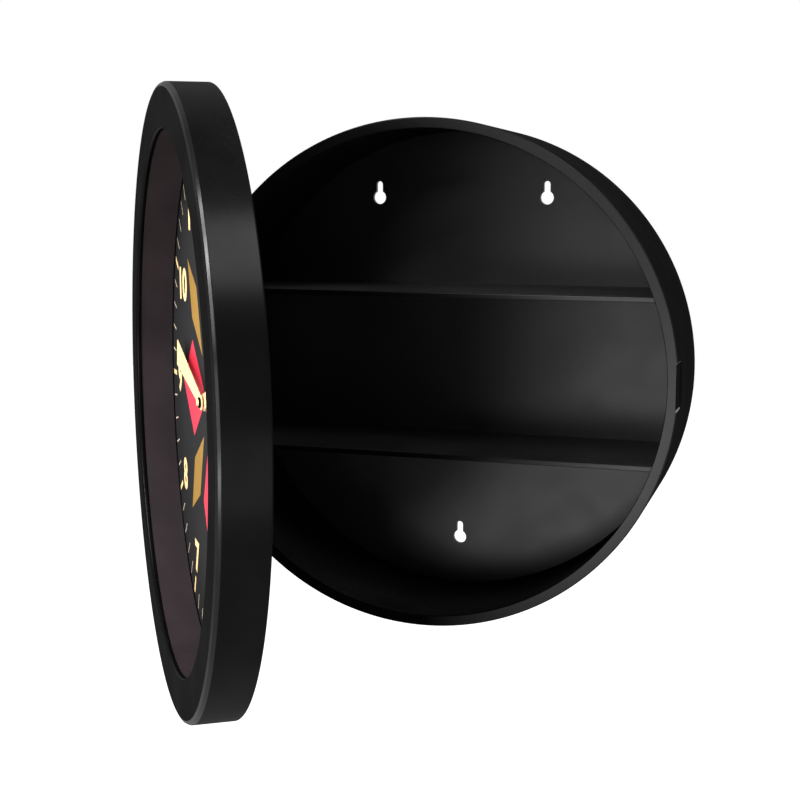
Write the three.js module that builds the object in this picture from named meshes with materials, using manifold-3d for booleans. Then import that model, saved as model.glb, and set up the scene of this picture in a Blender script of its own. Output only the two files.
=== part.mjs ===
// Clock diversion safe: a round wall clock that swings open on a hinge, over a shelved drum.
// Millimetres, +Z up. The origin is the centre of the back panel's rear face, which lies on the
// wall, and the drum reaches out from the wall along -Y. The door stands open as in the photograph.
import * as THREE from 'three';
import { mergeVertices } from 'three/addons/utils/BufferGeometryUtils.js';
import Module from 'manifold-3d';

// Clearances, and how far a cut runs past what it cuts
const gap = 0.3;
const overrun = 2;
const weld = 0.0001;

// Counts of steps round a curve
const roundSteps = 72;
const holeSteps = 16;
const cornerSteps = 3;
const nutFlats = 6;

// Drum: its shell tapers a little from the rim to the wall
const drumRadius = 168;
const drumTaper = 2;
const drumDepth = 101;
const drumWall = 3.5;
const rimWidth = 7;
const rimThickness = 3;
const rimRounding = 2;
const rimInnerRounding = 1;
const rearRounding = 1;
const panelThickness = 3;
const panelSeatWidth = 1.7;

// Keyholes, by which the case hangs on three screws in the wall
const keyholeHeadRadius = 4.75;
const keyholeSlotWidth = 4.7;
const keyholeLength = 16.3;
const upperKeyholeSpacing = 123;
const upperKeyholeInset = 51.6;
const lowerKeyholeInset = 38.4;

// Shelves, slid in from the rear along slots in the shell
const shelfThickness = 3.3;
const shelfSlotDepth = 1.6;
const upperShelfHeight = 53.95;
const lowerShelfDrop = 52.95;

// Finger recess in the shell, at the edge where the door is pulled open
const recessHeight = 31;
const recessLength = 21;
const recessDepth = 1.6;

// Door: a hollow ring round a deep well, which a second ring lines, closed behind by a dished cover
const doorOverhang = 13.4;
const doorDepth = 27;
const doorWall = 3;
const doorRounding = 4;
const doorRearRounding = 1;
const doorRimGap = 1.1;
const bezelWidth = 25.9;
const openingRounding = 2;
const lipDepth = 3.4;
const lipStep = 0.8;
const wellDraft = 1.3;
const wellWall = 2.5;
const wellRibWidth = 1.8;
const wellRibHeight = 3;
const coverThickness = 2;
const panWall = 2.2;
const panFloor = 1.7;
const dialInset = 1.6;
const dialThickness = 0.8;

// Hinge: its axis is upright, beside the drum and hidden behind the closed door
const hingeStandOff = 8.4;
const hingeSetback = 4.1;
const openAngle = 55.5;
const barrelRadius = 4;
const barrelLength = 56;
const knuckles = 5;
const pinRadius = 1.5;
const pinHeadRadius = 2.2;
const pinHeadThickness = 1.2;
const leafThickness = 1.5;
const caseLeafLength = 31;
const saddleInset = 4;
const saddleLength = 34.5;
const saddleLead = 1.5;
const doorLeafHeight = 88;
const doorLeafWidth = 8.6;
const leafRimClearance = 1.3;
const caseScrewSetback = 17;
const caseScrewInset = 24;
const doorScrewInset = 12;

// Screws, nuts and the bosses that hold them
const coverScrews = 6;
const coverScrewInset = 9.9;
const coverScrewRadius = 1.45;
const coverScrewHeadRadius = 2.8;
const coverScrewHeadDepth = 1.5;
const coverScrewLength = 13;
const bossRadius = 3.7;
const hingeScrewHeadRadius = 3.1;
const hingeScrewHeadThickness = 1.8;
const hingeScrewLength = 16;
const caseScrewRadius = 1.9;
const caseScrewHeadRadius = 3.6;
const caseScrewHeadThickness = 2;
const nutAcrossFlats = 7;
const nutThickness = 3.2;

// Magnetic catch and rubber bumpers
const magnetThickness = 2.5;
const magnetHeight = 24;
const magnetLength = 10;
const strikeHeight = 26;
const strikeWidth = 8;
const strikeThickness = 0.7;
const bumperRadius = 3;
const bumperThickness = 1.5;
const bumperTurns = [75, 150, 210, 285];

// Clock movement behind the cover
const movementWidth = 56;
const caseWall = 1.6;
const frontPlateThickness = 1.5;
const rearCaseDepth = 14.8;
const rearWall = 1.5;
const washerRadius = 9;
const washerThickness = 0.8;
const bushingRadius = 3.95;
const bushingWall = 1.1;
const bushingFlangeRadius = 5.5;
const bushingFlangeThickness = 0.8;
const bushingProud = 0.5;
const bushingNutAcrossFlats = 12;
const bushingNutThickness = 1.5;
const cellRadius = 7.25;
const cellLength = 50.2;
const cellNubRadius = 2.7;
const cellNubLength = 1;
const contactThickness = 0.5;
const contactWidth = 8.4;
const contactHeight = 10;
const boardThickness = 0.8;
const boardWidth = 14;
const boardHeight = 32;
const coilRadius = 3;
const coilWinding = 0.6;
const coilLength = 18;
const coilFlange = 1;
const pegRadius = 1;
const pegHeight = 0.5;

// Motion work: the minute shaft's pinion drives the minute wheel, whose pinion drives the hour wheel
const gearModule = 0.5;
const cannonTeeth = 10;
const minuteWheelTeeth = 30;
const minutePinionTeeth = 8;
const hourWheelTeeth = 32;
const gearThickness = 1.2;
const toothTipShare = 0.6;
const toothRootShare = 1.1;
const toothFootShare = 0.2;
const toothTopShare = 0.09;
const halfPitchShare = 0.5;
const gearSpacing = (cannonTeeth + minuteWheelTeeth) * gearModule / 2;
const minuteShaftRadius = 1.6;
const hourPipeWall = 0.65;
const arborRadius = 1.1;
const knobRadius = 6.5;
const knobThickness = 3.5;
const knobFlutes = 14;
const knobFluteDepth = 0.5;

// Hands, at their angles in the photograph, clockwise from 12
const minuteTurn = 280.9;
const hourTurn = 72;
const handThickness = 0.6;
const handHubRadius = 6.5;
const minuteHandHeight = 5.3;
const handSpacing = 1.7;
const minuteHandInset = 55.5;
const minuteHandHubWidth = 7.2;
const minuteHandEndWidth = 16.6;
const hourHandInset = 87.5;
const hourHandWidth = 9;
const hourHandRail = 2;
const capRadius = 3.1;
const capHeight = 2;
const capRounding = 1;
const capBoreDepth = 0.6;

// Places that follow from the sizes
const rimFront = -drumDepth;
const drumRearRadius = drumRadius - drumTaper;
const drumInnerRadius = drumRadius - drumWall;
const drumRearInnerRadius = drumRearRadius - drumWall;
const rimInnerRadius = drumRadius - rimWidth;
const panelSeatRadius = drumRearInnerRadius + panelSeatWidth;
const panelFront = -panelThickness;
const upperKeyholeHeight = drumRadius - upperKeyholeInset;
const lowerKeyholeDrop = drumRadius - lowerKeyholeInset;
const shelfFront = rimFront + rimThickness + gap;
const shelfRear = panelFront - gap;
const hingeX = -drumRadius - hingeStandOff;
const hingeY = rimFront + hingeSetback;
const saddleHeight = barrelLength - saddleInset;
const caseScrewSpacing = barrelLength - caseScrewInset;
const doorScrewSpacing = doorLeafHeight - doorScrewInset;
const doorRadius = drumRadius + doorOverhang;
const openingRadius = doorRadius - bezelWidth;
const coverScrewCircle = doorRadius - coverScrewInset;
const minuteHandLength = openingRadius - minuteHandInset;
const hourHandLength = openingRadius - hourHandInset;
const doorFront = rimFront - doorRimGap - doorDepth;
const coverFront = doorDepth - coverThickness;
const wellRearRadius = openingRadius + wellDraft;
const wellOuterRadius = wellRearRadius + wellWall;
const panRadius = wellOuterRadius;
const panInnerRadius = panRadius - panWall;
const dialFront = doorDepth - dialInset;
const dialRear = dialFront + dialThickness;
const coverRear = dialRear + gap + panFloor;
const coverRadius = doorRadius - doorWall - gap;
const leafFront = hingeY - barrelRadius - doorFront;
const leafRear = leafFront + leafThickness;
const padRear = leafFront - gap;
const doorLeafInner = drumRadius + leafRimClearance;
const doorLeafMiddle = doorLeafInner + doorLeafWidth / 2;
const washerFront = coverRear + gap;
const plateFront = washerFront + washerThickness + gap;
const plateRear = plateFront + frontPlateThickness;
const rearCaseFront = plateRear + gap;
const rearCaseRear = rearCaseFront + rearCaseDepth;
const cavityRear = rearCaseRear - rearWall;
const bushingBore = bushingRadius - bushingWall;
const bushingHole = bushingRadius + gap;
const nutRear = dialFront - gap;
const bushingFront = nutRear - bushingNutThickness - bushingProud;
const flangeFront = plateRear + gap;
const flangeRear = flangeFront + bushingFlangeThickness;
const minuteHandFront = dialFront - minuteHandHeight;
const hourHandFront = minuteHandFront + handSpacing;
const hourWheelFront = flangeRear + gap;
const minuteWheelFront = hourWheelFront + gearThickness + 3 * gap;
const movementHalf = movementWidth / 2;
const cavityHalf = movementHalf - caseWall;
const bayHeight = 2 * (cellRadius + gap);
const bayMiddle = -cavityHalf + bayHeight / 2;
const cavityBottom = -cavityHalf + bayHeight + caseWall;
const cellMiddle = plateRear + gap + cellRadius;

const wasm = await Module();
wasm.setup();

// Turns a geometry into a closed solid: shared corners joined, empty faces dropped, faces outwards
function solid(geometry) {
  const bare = geometry.clone();
  bare.deleteAttribute('normal');
  bare.deleteAttribute('uv');
  const joined = mergeVertices(bare, weld);
  const spots = joined.attributes.position.array;
  const faces = [];
  let volume = 0;
  const corner = (i) => new THREE.Vector3().fromArray(spots, 3 * i);
  for (let i = 0; i < joined.index.count; i += 3) {
    const [a, b, c] = joined.index.array.slice(i, i + 3);
    if (a === b || b === c || c === a) continue;
    faces.push([a, b, c]);
    volume += corner(a).dot(corner(b).cross(corner(c)));
  }
  const outward = volume < 0 ? faces.map(([a, b, c]) => [a, c, b]) : faces;
  return new wasm.Manifold(new wasm.Mesh({
    numProp: 3,
    vertProperties: new Float32Array(spots),
    triVerts: new Uint32Array(outward.flat()),
  }));
}

const join = (...solids) => solids.reduce((all, next) => all.add(next));
const cut = (body, ...tools) => tools.reduce((rest, tool) => rest.subtract(tool), body);

// A solid of revolution about Y, from a closed outline of [radius, y] points
function turned(outline, steps = roundSteps) {
  const points = [...outline, outline[0]].map(([r, y]) => new THREE.Vector2(r, y));
  return solid(new THREE.LatheGeometry(points, steps));
}

// A round bar or ring about Y between two places on Y
function ringY(outer, inner, from, to, steps = roundSteps) {
  return turned([[inner, from], [outer, from], [outer, to], [inner, to]], steps);
}

const moved = (body, x, y, z) => body.translate([x, y, z]);
const alongZ = (body) => body.rotate([90, 0, 0]);
const alongX = (body) => body.rotate([0, 0, -90]);

function box(x0, x1, y0, y1, z0, z1) {
  const block = solid(new THREE.BoxGeometry(x1 - x0, y1 - y0, z1 - z0));
  return moved(block, (x0 + x1) / 2, (y0 + y1) / 2, (z0 + z1) / 2);
}

// A flat outline in X and Z, thickened along Y between two places
function plateXZ(shape, from, to, steps = holeSteps) {
  const flat = new THREE.ExtrudeGeometry(shape, {
    depth: to - from, bevelEnabled: false, curveSegments: steps,
  });
  return moved(solid(flat).rotate([90, 0, 0]), 0, to, 0);
}

// Points of a rounded corner, from one angle to another
function arc(r, y, radius, fromDegrees, toDegrees) {
  return Array.from({ length: cornerSteps + 1 }, (_, i) => {
    const a = THREE.MathUtils.degToRad(fromDegrees + (toDegrees - fromDegrees) * i / cornerSteps);
    return [r + radius * Math.cos(a), y + radius * Math.sin(a)];
  });
}

// Places of [x, z] on a circle, for an angle counted from +X towards +Z
function onCircle(radius, degrees) {
  const a = THREE.MathUtils.degToRad(degrees);
  return [radius * Math.cos(a), radius * Math.sin(a)];
}

function hexagon(acrossFlats) {
  const reach = acrossFlats / Math.sqrt(3);
  const corners = Array.from({ length: nutFlats }, (_, i) => (
    new THREE.Vector2(...onCircle(reach, i * 360 / nutFlats))));
  return new THREE.Shape(corners);
}

const finish = {
  blackPlastic: { color: 0x17171a, roughness: 0.42, metalness: 0 },
  smokedPlastic: { color: 0x3c3437, roughness: 0.5, metalness: 0 },
  darkSheet: { color: 0x1c1c1f, roughness: 0.5, metalness: 0 },
  dialPrint: { color: 0x26262b, roughness: 0.6, metalness: 0 },
  gold: { color: 0xe2c08a, roughness: 0.35, metalness: 0.7 },
  steel: { color: 0x9a9ca0, roughness: 0.35, metalness: 0.9 },
  brass: { color: 0xb8943f, roughness: 0.35, metalness: 0.9 },
  rubber: { color: 0x101010, roughness: 0.85, metalness: 0 },
  magnet: { color: 0x4a4b4e, roughness: 0.45, metalness: 0.6 },
  whitePlastic: { color: 0xdcdcd6, roughness: 0.5, metalness: 0 },
  copper: { color: 0xa35a2c, roughness: 0.45, metalness: 0.8 },
  board: { color: 0x1f5a34, roughness: 0.55, metalness: 0 },
  cell: { color: 0x3c6ea0, roughness: 0.4, metalness: 0.3 },
};

function piece(name, body, look) {
  const { vertProperties, triVerts } = body.getMesh();
  const geometry = new THREE.BufferGeometry();
  geometry.setAttribute('position', new THREE.BufferAttribute(new Float32Array(vertProperties), 3));
  geometry.setIndex(new THREE.BufferAttribute(new Uint32Array(triVerts), 1));
  const faceted = geometry.toNonIndexed();
  faceted.computeVertexNormals();
  const mesh = new THREE.Mesh(faceted, new THREE.MeshStandardMaterial(look));
  mesh.name = name;
  return mesh;
}

// Radius of the shell's tapered wall at a place on Y, from its radius at the rim and at the rear
function taperedRadius(frontRadius, rearRadius, y) {
  return THREE.MathUtils.lerp(rearRadius, frontRadius, y / rimFront);
}

// Half the width of a shelf at a place on Y, reaching to a depth in the shell's wall
function shelfReach(height, y, depth) {
  const inner = taperedRadius(drumInnerRadius, drumRearInnerRadius, y);
  return Math.sqrt(inner * inner - height * height) + depth;
}

// A shelf, or with a clearance the slot that it slides in
function shelf(height, clearance) {
  const depth = shelfSlotDepth - gap + clearance;
  const front = shelfFront - clearance;
  const rear = clearance > 0 ? overrun : shelfRear;
  const frontReach = shelfReach(height, front, depth);
  const rearReach = shelfReach(height, rear, depth);
  const outline = new THREE.Shape([
    new THREE.Vector2(-frontReach, front), new THREE.Vector2(frontReach, front),
    new THREE.Vector2(rearReach, rear), new THREE.Vector2(-rearReach, rear),
  ]);
  const thickness = shelfThickness + 2 * clearance;
  const flat = new THREE.ExtrudeGeometry(outline, { depth: thickness, bevelEnabled: false });
  return moved(solid(flat), 0, 0, height - thickness / 2);
}

// The drum's outer form, grown by a clearance and longer at both ends, to cut what sits on it
function drumForm(clearance) {
  const reach = (y) => taperedRadius(drumRadius, drumRearRadius, y) + clearance;
  const front = rimFront - overrun;
  return turned([[0, front], [reach(front), front], [reach(overrun), overrun], [0, overrun]]);
}

// Where the two screws of the case's hinge leaf go, as [y, z]
const caseScrewPlaces = [1, -1].map((side) => [hingeY + caseScrewSetback, side * caseScrewSpacing / 2]);

function drumShell() {
  const wall = turned([
    ...arc(rimInnerRadius + rimInnerRounding, rimFront + rimInnerRounding, rimInnerRounding, 180, 270),
    ...arc(drumRadius - rimRounding, rimFront + rimRounding, rimRounding, 270, 360),
    ...arc(drumRearRadius - rearRounding, -rearRounding, rearRounding, 0, 90),
    [panelSeatRadius, 0],
    [panelSeatRadius, panelFront - gap],
    [drumRearInnerRadius, panelFront - gap],
    [drumInnerRadius, rimFront + rimThickness],
    [rimInnerRadius, rimFront + rimThickness],
  ]);
  const recess = box(
    drumRadius - recessDepth, drumRadius + overrun,
    rimFront - overrun, rimFront + recessLength,
    -recessHeight / 2, recessHeight / 2,
  );
  const holes = caseScrewPlaces.map(([y, z]) => caseScrewHole(y, z));
  return cut(wall, recess, shelf(upperShelfHeight, gap), shelf(-lowerShelfDrop, gap), ...holes);
}

// The clearance hole for a screw of the case's hinge leaf, through leaf, saddle and shell
function caseScrewHole(y, z) {
  const hole = ringY(caseScrewRadius + gap, 0, 0, drumRadius / 2, holeSteps);
  return moved(alongX(hole), -drumRadius - overrun - barrelRadius * 2, y, z);
}

function keyhole() {
  const half = keyholeSlotWidth / 2;
  const side = Math.asin(half / keyholeHeadRadius);
  const slotTop = keyholeLength - keyholeHeadRadius - half;
  const outline = new THREE.Shape();
  outline.absarc(0, 0, keyholeHeadRadius, Math.PI / 2 + side, Math.PI * 2.5 - side, false);
  outline.absarc(0, slotTop, half, 0, Math.PI, false);
  outline.closePath();
  return plateXZ(outline, panelFront - overrun, overrun, holeSteps / 2);
}

function backPanel() {
  const disc = ringY(panelSeatRadius - gap, 0, panelFront, 0);
  const half = upperKeyholeSpacing / 2;
  const places = [[-half, upperKeyholeHeight], [half, upperKeyholeHeight], [0, -lowerKeyholeDrop]];
  return cut(disc, ...places.map(([x, z]) => moved(keyhole(), x, 0, z)));
}

// One knuckle of the hinge, counted from below, as [bottom, top] on Z
function knuckleSpan(index) {
  const each = barrelLength / knuckles;
  const bottom = -barrelLength / 2 + index * each;
  return [bottom + gap / 2, bottom + each - gap / 2];
}

function barrel(index) {
  const [bottom, top] = knuckleSpan(index);
  const tube = ringY(barrelRadius, 0, bottom, top, holeSteps);
  return moved(alongZ(tube), hingeX, hingeY, 0);
}

function pinBore() {
  const half = barrelLength / 2 + overrun;
  return moved(alongZ(ringY(pinRadius + gap, 0, -half, half, holeSteps)), hingeX, hingeY, 0);
}

// Knuckles 1, 3 and 5 turn with the door, and 2 and 4 stay on the case
const onDoor = (index) => index % 2 === 0;
const knuckleList = [...Array(knuckles).keys()];

function caseHingeLeaf() {
  const inner = hingeX + barrelRadius;
  const outer = inner - leafThickness;
  const half = barrelLength / 2 - gap;
  const flat = box(outer, inner, hingeY, hingeY + caseLeafLength, -half, half);
  const clear = barrelRadius + 2 * gap;
  const notches = knuckleList.filter(onDoor).map((index) => {
    const [bottom, top] = knuckleSpan(index);
    return box(outer - overrun, inner + overrun, hingeY - clear, hingeY + clear, bottom - gap, top + gap);
  });
  const barrels = knuckleList.filter((index) => !onDoor(index)).map(barrel);
  const holes = caseScrewPlaces.map(([y, z]) => caseScrewHole(y, z));
  return cut(join(cut(flat, ...notches), ...barrels), pinBore(), ...holes);
}

function hingeSaddle() {
  const face = hingeX + barrelRadius + gap;
  const front = hingeY - saddleLead;
  const half = saddleHeight / 2;
  const inner = -drumInnerRadius * Math.cos(half / drumInnerRadius);
  const block = box(face, inner, front, front + saddleLength, -half, half);
  const holes = caseScrewPlaces.map(([y, z]) => caseScrewHole(y, z));
  return cut(block, drumForm(gap), ...holes);
}

function hingePin() {
  const half = barrelLength / 2 + gap;
  const tip = half + pinHeadThickness;
  const bar = turned([
    [0, -tip], [pinHeadRadius, -tip], [pinHeadRadius, -half], [pinRadius, -half],
    [pinRadius, half], [pinHeadRadius, half], [pinHeadRadius, tip], [0, tip],
  ], holeSteps);
  return moved(alongZ(bar), hingeX, hingeY, 0);
}

// The nuts' flat faces stand just clear of the shell's curved wall, at their outermost corners
const nutReach = nutAcrossFlats / Math.sqrt(3);
const nutWall = taperedRadius(drumInnerRadius, drumRearInnerRadius, hingeY + caseScrewSetback + nutReach);
const nutFace = gap - Math.sqrt(nutWall ** 2 - (caseScrewSpacing / 2 + nutReach) ** 2);

function caseHingeScrew([y, z]) {
  const seat = hingeX + barrelRadius - leafThickness - gap;
  const tip = nutFace + nutThickness + gap;
  const profile = turned([
    [0, seat - caseScrewHeadThickness], [caseScrewHeadRadius - gap, seat - caseScrewHeadThickness],
    [caseScrewHeadRadius, seat - caseScrewHeadThickness / 2], [caseScrewHeadRadius, seat],
    [caseScrewRadius, seat], [caseScrewRadius, tip], [0, tip],
  ], holeSteps);
  return moved(alongX(profile), 0, y, z);
}

function caseHingeNut([y, z]) {
  const bore = new THREE.Path().absarc(0, 0, caseScrewRadius + gap, 0, Math.PI * 2, true);
  const shape = hexagon(nutAcrossFlats);
  shape.holes.push(bore);
  const nut = plateXZ(shape, nutFace, nutFace + nutThickness);
  return moved(alongX(nut), 0, y, z);
}

function catchMagnet() {
  const inner = rimInnerRadius;
  const front = rimFront + rimThickness + gap;
  const half = magnetHeight / 2;
  return box(inner, inner + magnetThickness, front, front + magnetLength, -half, half);
}

// Where screws go into the door, as [x, z]
const coverScrewPlaces = Array.from(
  { length: coverScrews },
  (_, i) => onCircle(coverScrewCircle, (i + 0.5) * 360 / coverScrews),
);
const doorScrewPlaces = [1, -1].map((side) => {
  const z = side * doorScrewSpacing / 2;
  return [-Math.sqrt(doorLeafMiddle * doorLeafMiddle - z * z), z];
});
const bossPlaces = [...coverScrewPlaces, ...doorScrewPlaces];

// The door's own places on Y count from the front of the bezel. A rib behind its face centres the
// ring that lines the well.
const wellRear = coverFront - gap;

function bezelFrame() {
  const rib = wellOuterRadius + gap;
  const ring = turned([
    ...arc(openingRadius + openingRounding, openingRounding, openingRounding, 180, 270),
    ...arc(doorRadius - doorRounding, doorRounding, doorRounding, 270, 360),
    ...arc(doorRadius - doorRearRounding, doorDepth - doorRearRounding, doorRearRounding, 0, 90),
    [doorRadius - doorWall, doorDepth],
    [doorRadius - doorWall, doorWall],
    [rib + wellRibWidth, doorWall],
    [rib + wellRibWidth, lipDepth + wellRibHeight],
    [rib, lipDepth + wellRibHeight],
    [rib, lipDepth],
    [openingRadius, lipDepth],
  ]);
  const bosses = bossPlaces.map(([x, z]) => (
    moved(ringY(bossRadius, 0, doorWall / 2, wellRear, holeSteps), x, 0, z)));
  const bores = bossPlaces.map(([x, z]) => (
    moved(ringY(coverScrewRadius + gap, 0, 2 * doorWall, doorDepth, holeSteps), x, 0, z)));
  return cut(join(ring, ...bosses), ...bores);
}

function wellRing() {
  const front = lipDepth + gap;
  return turned([
    [openingRadius + lipStep, front], [wellOuterRadius, front],
    [wellOuterRadius, wellRear], [wellRearRadius, wellRear],
  ]);
}

function doorBackCover() {
  const pan = turned([
    [0, dialRear + gap], [panInnerRadius, dialRear + gap], [panInnerRadius, coverFront],
    [coverRadius, coverFront], [coverRadius, doorDepth], [panRadius, doorDepth],
    [panRadius, coverRear], [0, coverRear],
  ]);
  const padHeight = doorLeafHeight / 2 + gap;
  const padRing = ringY(coverRadius, doorLeafInner - gap, doorDepth - coverThickness / 2, padRear);
  const pad = padRing.intersect(box(-coverRadius - overrun, 0, 0, padRear + overrun, -padHeight, padHeight));
  const sinks = coverScrewPlaces.map(([x, z]) => moved(countersink(gap), x, 0, z));
  const holes = doorScrewPlaces.map(([x, z]) => (
    moved(ringY(coverScrewRadius + gap, 0, 0, padRear + overrun, holeSteps), x, 0, z)));
  const pockets = bumperTurns.map((turn) => bumperAt(turn, gap));
  const shaftHole = ringY(bushingHole, 0, 0, coverRear + overrun, holeSteps);
  return cut(join(pan, pad), ...sinks, ...holes, ...pockets, strikeBlock(gap, overrun), shaftHole);
}

// A countersunk screw of the cover, or with a clearance the hole that it goes in
function countersink(clearance) {
  const shank = coverScrewRadius + clearance;
  const head = coverScrewHeadRadius + clearance;
  const rear = clearance > 0 ? doorDepth + overrun : doorDepth - gap;
  const headRear = doorDepth - gap;
  const headFront = headRear - coverScrewHeadDepth;
  const tip = doorDepth - coverScrewLength;
  return turned([
    [0, tip], [shank, tip], [shank, headFront], [head, headRear], [head, rear], [0, rear],
  ], holeSteps);
}

function doorHingeScrew() {
  const seat = leafRear + gap;
  const rear = seat + hingeScrewHeadThickness;
  return turned([
    [0, seat - hingeScrewLength], [coverScrewRadius, seat - hingeScrewLength], [coverScrewRadius, seat],
    [hingeScrewHeadRadius, seat], [hingeScrewHeadRadius, seat + hingeScrewHeadThickness / 2],
    [hingeScrewHeadRadius - gap, rear], [0, rear],
  ], holeSteps);
}

// The strike plate of the catch, or with a clearance its pocket
function strikeBlock(clearance, past) {
  const inner = rimInnerRadius + gap - clearance;
  const outer = rimInnerRadius + gap + strikeWidth + clearance;
  const half = strikeHeight / 2 + clearance;
  return box(inner, outer, doorDepth - strikeThickness - clearance, doorDepth + past, -half, half);
}

// A bumper in its pocket, or with a clearance the pocket
function bumperAt(turn, clearance) {
  const [x, z] = onCircle(drumRadius - rimWidth / 2, turn);
  const rear = doorDepth + doorRimGap - gap;
  const front = rear - bumperThickness;
  return moved(ringY(bumperRadius + clearance, 0, front - clearance, rear + clearance, holeSteps), x, 0, z);
}

function doorHingeLeaf() {
  const band = ringY(doorLeafInner + doorLeafWidth, doorLeafInner, leafFront, leafRear);
  const half = doorLeafHeight / 2;
  const flat = band.intersect(box(-doorRadius, 0, 0, leafRear + overrun, -half, half));
  const toDoor = (body) => moved(body, 0, -doorFront, 0);
  const clear = barrelRadius + 2 * gap;
  const axisY = hingeY - doorFront;
  const notches = knuckleList.filter((index) => !onDoor(index)).map((index) => {
    const [bottom, top] = knuckleSpan(index);
    return box(-doorRadius, hingeX + clear, axisY - 2 * clear, axisY + clear, bottom - gap, top + gap);
  });
  const barrels = knuckleList.filter(onDoor).map((index) => toDoor(barrel(index)));
  const holes = doorScrewPlaces.map(([x, z]) => (
    moved(ringY(coverScrewRadius + gap, 0, 0, leafRear + overrun, holeSteps), x, 0, z)));
  return cut(join(cut(flat, ...notches), ...barrels), toDoor(pinBore()), ...holes);
}

const dialPlate = () => ringY(panInnerRadius - gap, bushingHole, dialFront, dialRear);
const movementWasher = () => (
  ringY(washerRadius, bushingHole, washerFront, washerFront + washerThickness, holeSteps));

function bushingNut() {
  const shape = hexagon(bushingNutAcrossFlats);
  shape.holes.push(new THREE.Path().absarc(0, 0, bushingHole, 0, Math.PI * 2, true));
  return plateXZ(shape, nutRear - bushingNutThickness, nutRear);
}

function threadedBushing() {
  return turned([
    [bushingBore, bushingFront], [bushingRadius, bushingFront], [bushingRadius, flangeFront],
    [bushingFlangeRadius, flangeFront], [bushingFlangeRadius, flangeRear], [bushingBore, flangeRear],
  ], holeSteps);
}

// The board stands beside the wheels, towards +X
const boardLeft = cavityHalf - gap - boardWidth;
const boardBottom = cavityBottom + gap;
const boardFront = plateRear + pegHeight + gap;

function movementFrontCase() {
  const plate = box(-movementHalf, movementHalf, plateFront, plateRear, -movementHalf, movementHalf);
  const hole = ringY(bushingHole, 0, plateFront - overrun, plateRear + overrun, holeSteps);
  const pegs = [1, -1].map((side) => moved(
    ringY(pegRadius, 0, plateRear - frontPlateThickness / 2, plateRear + pegHeight, holeSteps),
    boardLeft + boardWidth / 2, 0, boardBottom + boardHeight / 2 + side * boardHeight / 3,
  ));
  return cut(join(plate, ...pegs), hole);
}

function movementRearCase() {
  const block = box(-movementHalf, movementHalf, rearCaseFront, rearCaseRear, -movementHalf, movementHalf);
  const cavity = box(
    -cavityHalf, cavityHalf, rearCaseFront - overrun, cavityRear, cavityBottom, cavityHalf,
  );
  const bay = box(
    -cavityHalf, cavityHalf, rearCaseFront - overrun, rearCaseRear + overrun,
    -cavityHalf, -cavityHalf + bayHeight,
  );
  const arborHole = moved(
    ringY(arborRadius + gap, 0, cavityRear - overrun, rearCaseRear + overrun, holeSteps), 0, 0, gearSpacing,
  );
  return cut(block, cavity, bay, arborHole);
}

function batteryCell() {
  const half = cellLength / 2;
  const bar = turned([
    [0, -half], [cellRadius, -half], [cellRadius, half - cellNubLength],
    [cellNubRadius, half - cellNubLength], [cellNubRadius, half], [0, half],
  ], 2 * holeSteps);
  return moved(alongX(bar), 0, cellMiddle, bayMiddle);
}

function batteryContact(side) {
  const outer = cavityHalf - gap;
  const inner = outer - contactThickness;
  const [x0, x1] = side > 0 ? [inner, outer] : [-outer, -inner];
  return box(
    x0, x1, cellMiddle - contactHeight / 2, cellMiddle + contactHeight / 2,
    bayMiddle - contactWidth / 2, bayMiddle + contactWidth / 2,
  );
}

function circuitBoard() {
  return box(
    boardLeft, boardLeft + boardWidth, boardFront, boardFront + boardThickness,
    boardBottom, boardBottom + boardHeight,
  );
}

function driveCoil() {
  const half = coilLength / 2;
  const core = coilRadius - coilWinding;
  const spool = turned([
    [0, -half], [coilRadius, -half], [coilRadius, coilFlange - half], [core, coilFlange - half],
    [core, half - coilFlange], [coilRadius, half - coilFlange], [coilRadius, half], [0, half],
  ], holeSteps);
  const front = boardFront + boardThickness + gap;
  return moved(
    alongZ(spool), boardLeft + boardWidth / 2, front + coilRadius, boardBottom + boardHeight / 2,
  );
}

// A spur wheel's outline: narrow teeth, so that two wheels in mesh run clear of each other
function gearShape(teeth, phaseShare) {
  const pitchRadius = teeth * gearModule / 2;
  const tip = pitchRadius + toothTipShare * gearModule;
  const root = pitchRadius - toothRootShare * gearModule;
  const corners = [
    [-toothFootShare, root], [-toothTopShare, tip], [toothTopShare, tip], [toothFootShare, root],
  ];
  const points = [];
  for (let tooth = 0; tooth < teeth; tooth += 1) {
    for (const [share, radius] of corners) {
      const a = (tooth + phaseShare + share) * 2 * Math.PI / teeth;
      points.push(new THREE.Vector2(radius * Math.sin(a), radius * Math.cos(a)));
    }
  }
  return new THREE.Shape(points);
}

const gear = (teeth, phaseShare, from, to) => plateXZ(gearShape(teeth, phaseShare), from, to);

// Where two wheels mesh, the pinion has a tooth and the wheel has the space between two teeth
const toothAtTop = 0;
const spaceAtTop = halfPitchShare;
const toothAtFoot = (teeth) => (teeth % 2) * halfPitchShare;
const spaceAtFoot = (teeth) => ((teeth + 1) % 2) * halfPitchShare;

function minuteShaft() {
  const front = minuteHandFront - 2 * gap;
  const shaft = ringY(minuteShaftRadius, 0, front, cavityRear - gap, holeSteps);
  const pinion = gear(cannonTeeth, toothAtTop, minuteWheelFront, minuteWheelFront + gearThickness);
  return join(shaft, pinion);
}

function minuteWheel() {
  const front = minuteWheelFront;
  const wheel = gear(minuteWheelTeeth, spaceAtFoot(minuteWheelTeeth), front, front + gearThickness);
  const pinionFoot = toothAtFoot(minutePinionTeeth);
  const pinion = gear(minutePinionTeeth, pinionFoot, hourWheelFront, front + gearThickness / 2);
  const arbor = ringY(arborRadius, 0, plateRear + gap, rearCaseRear + gap + knobThickness / 2, holeSteps);
  return join(wheel, pinion, arbor);
}

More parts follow.
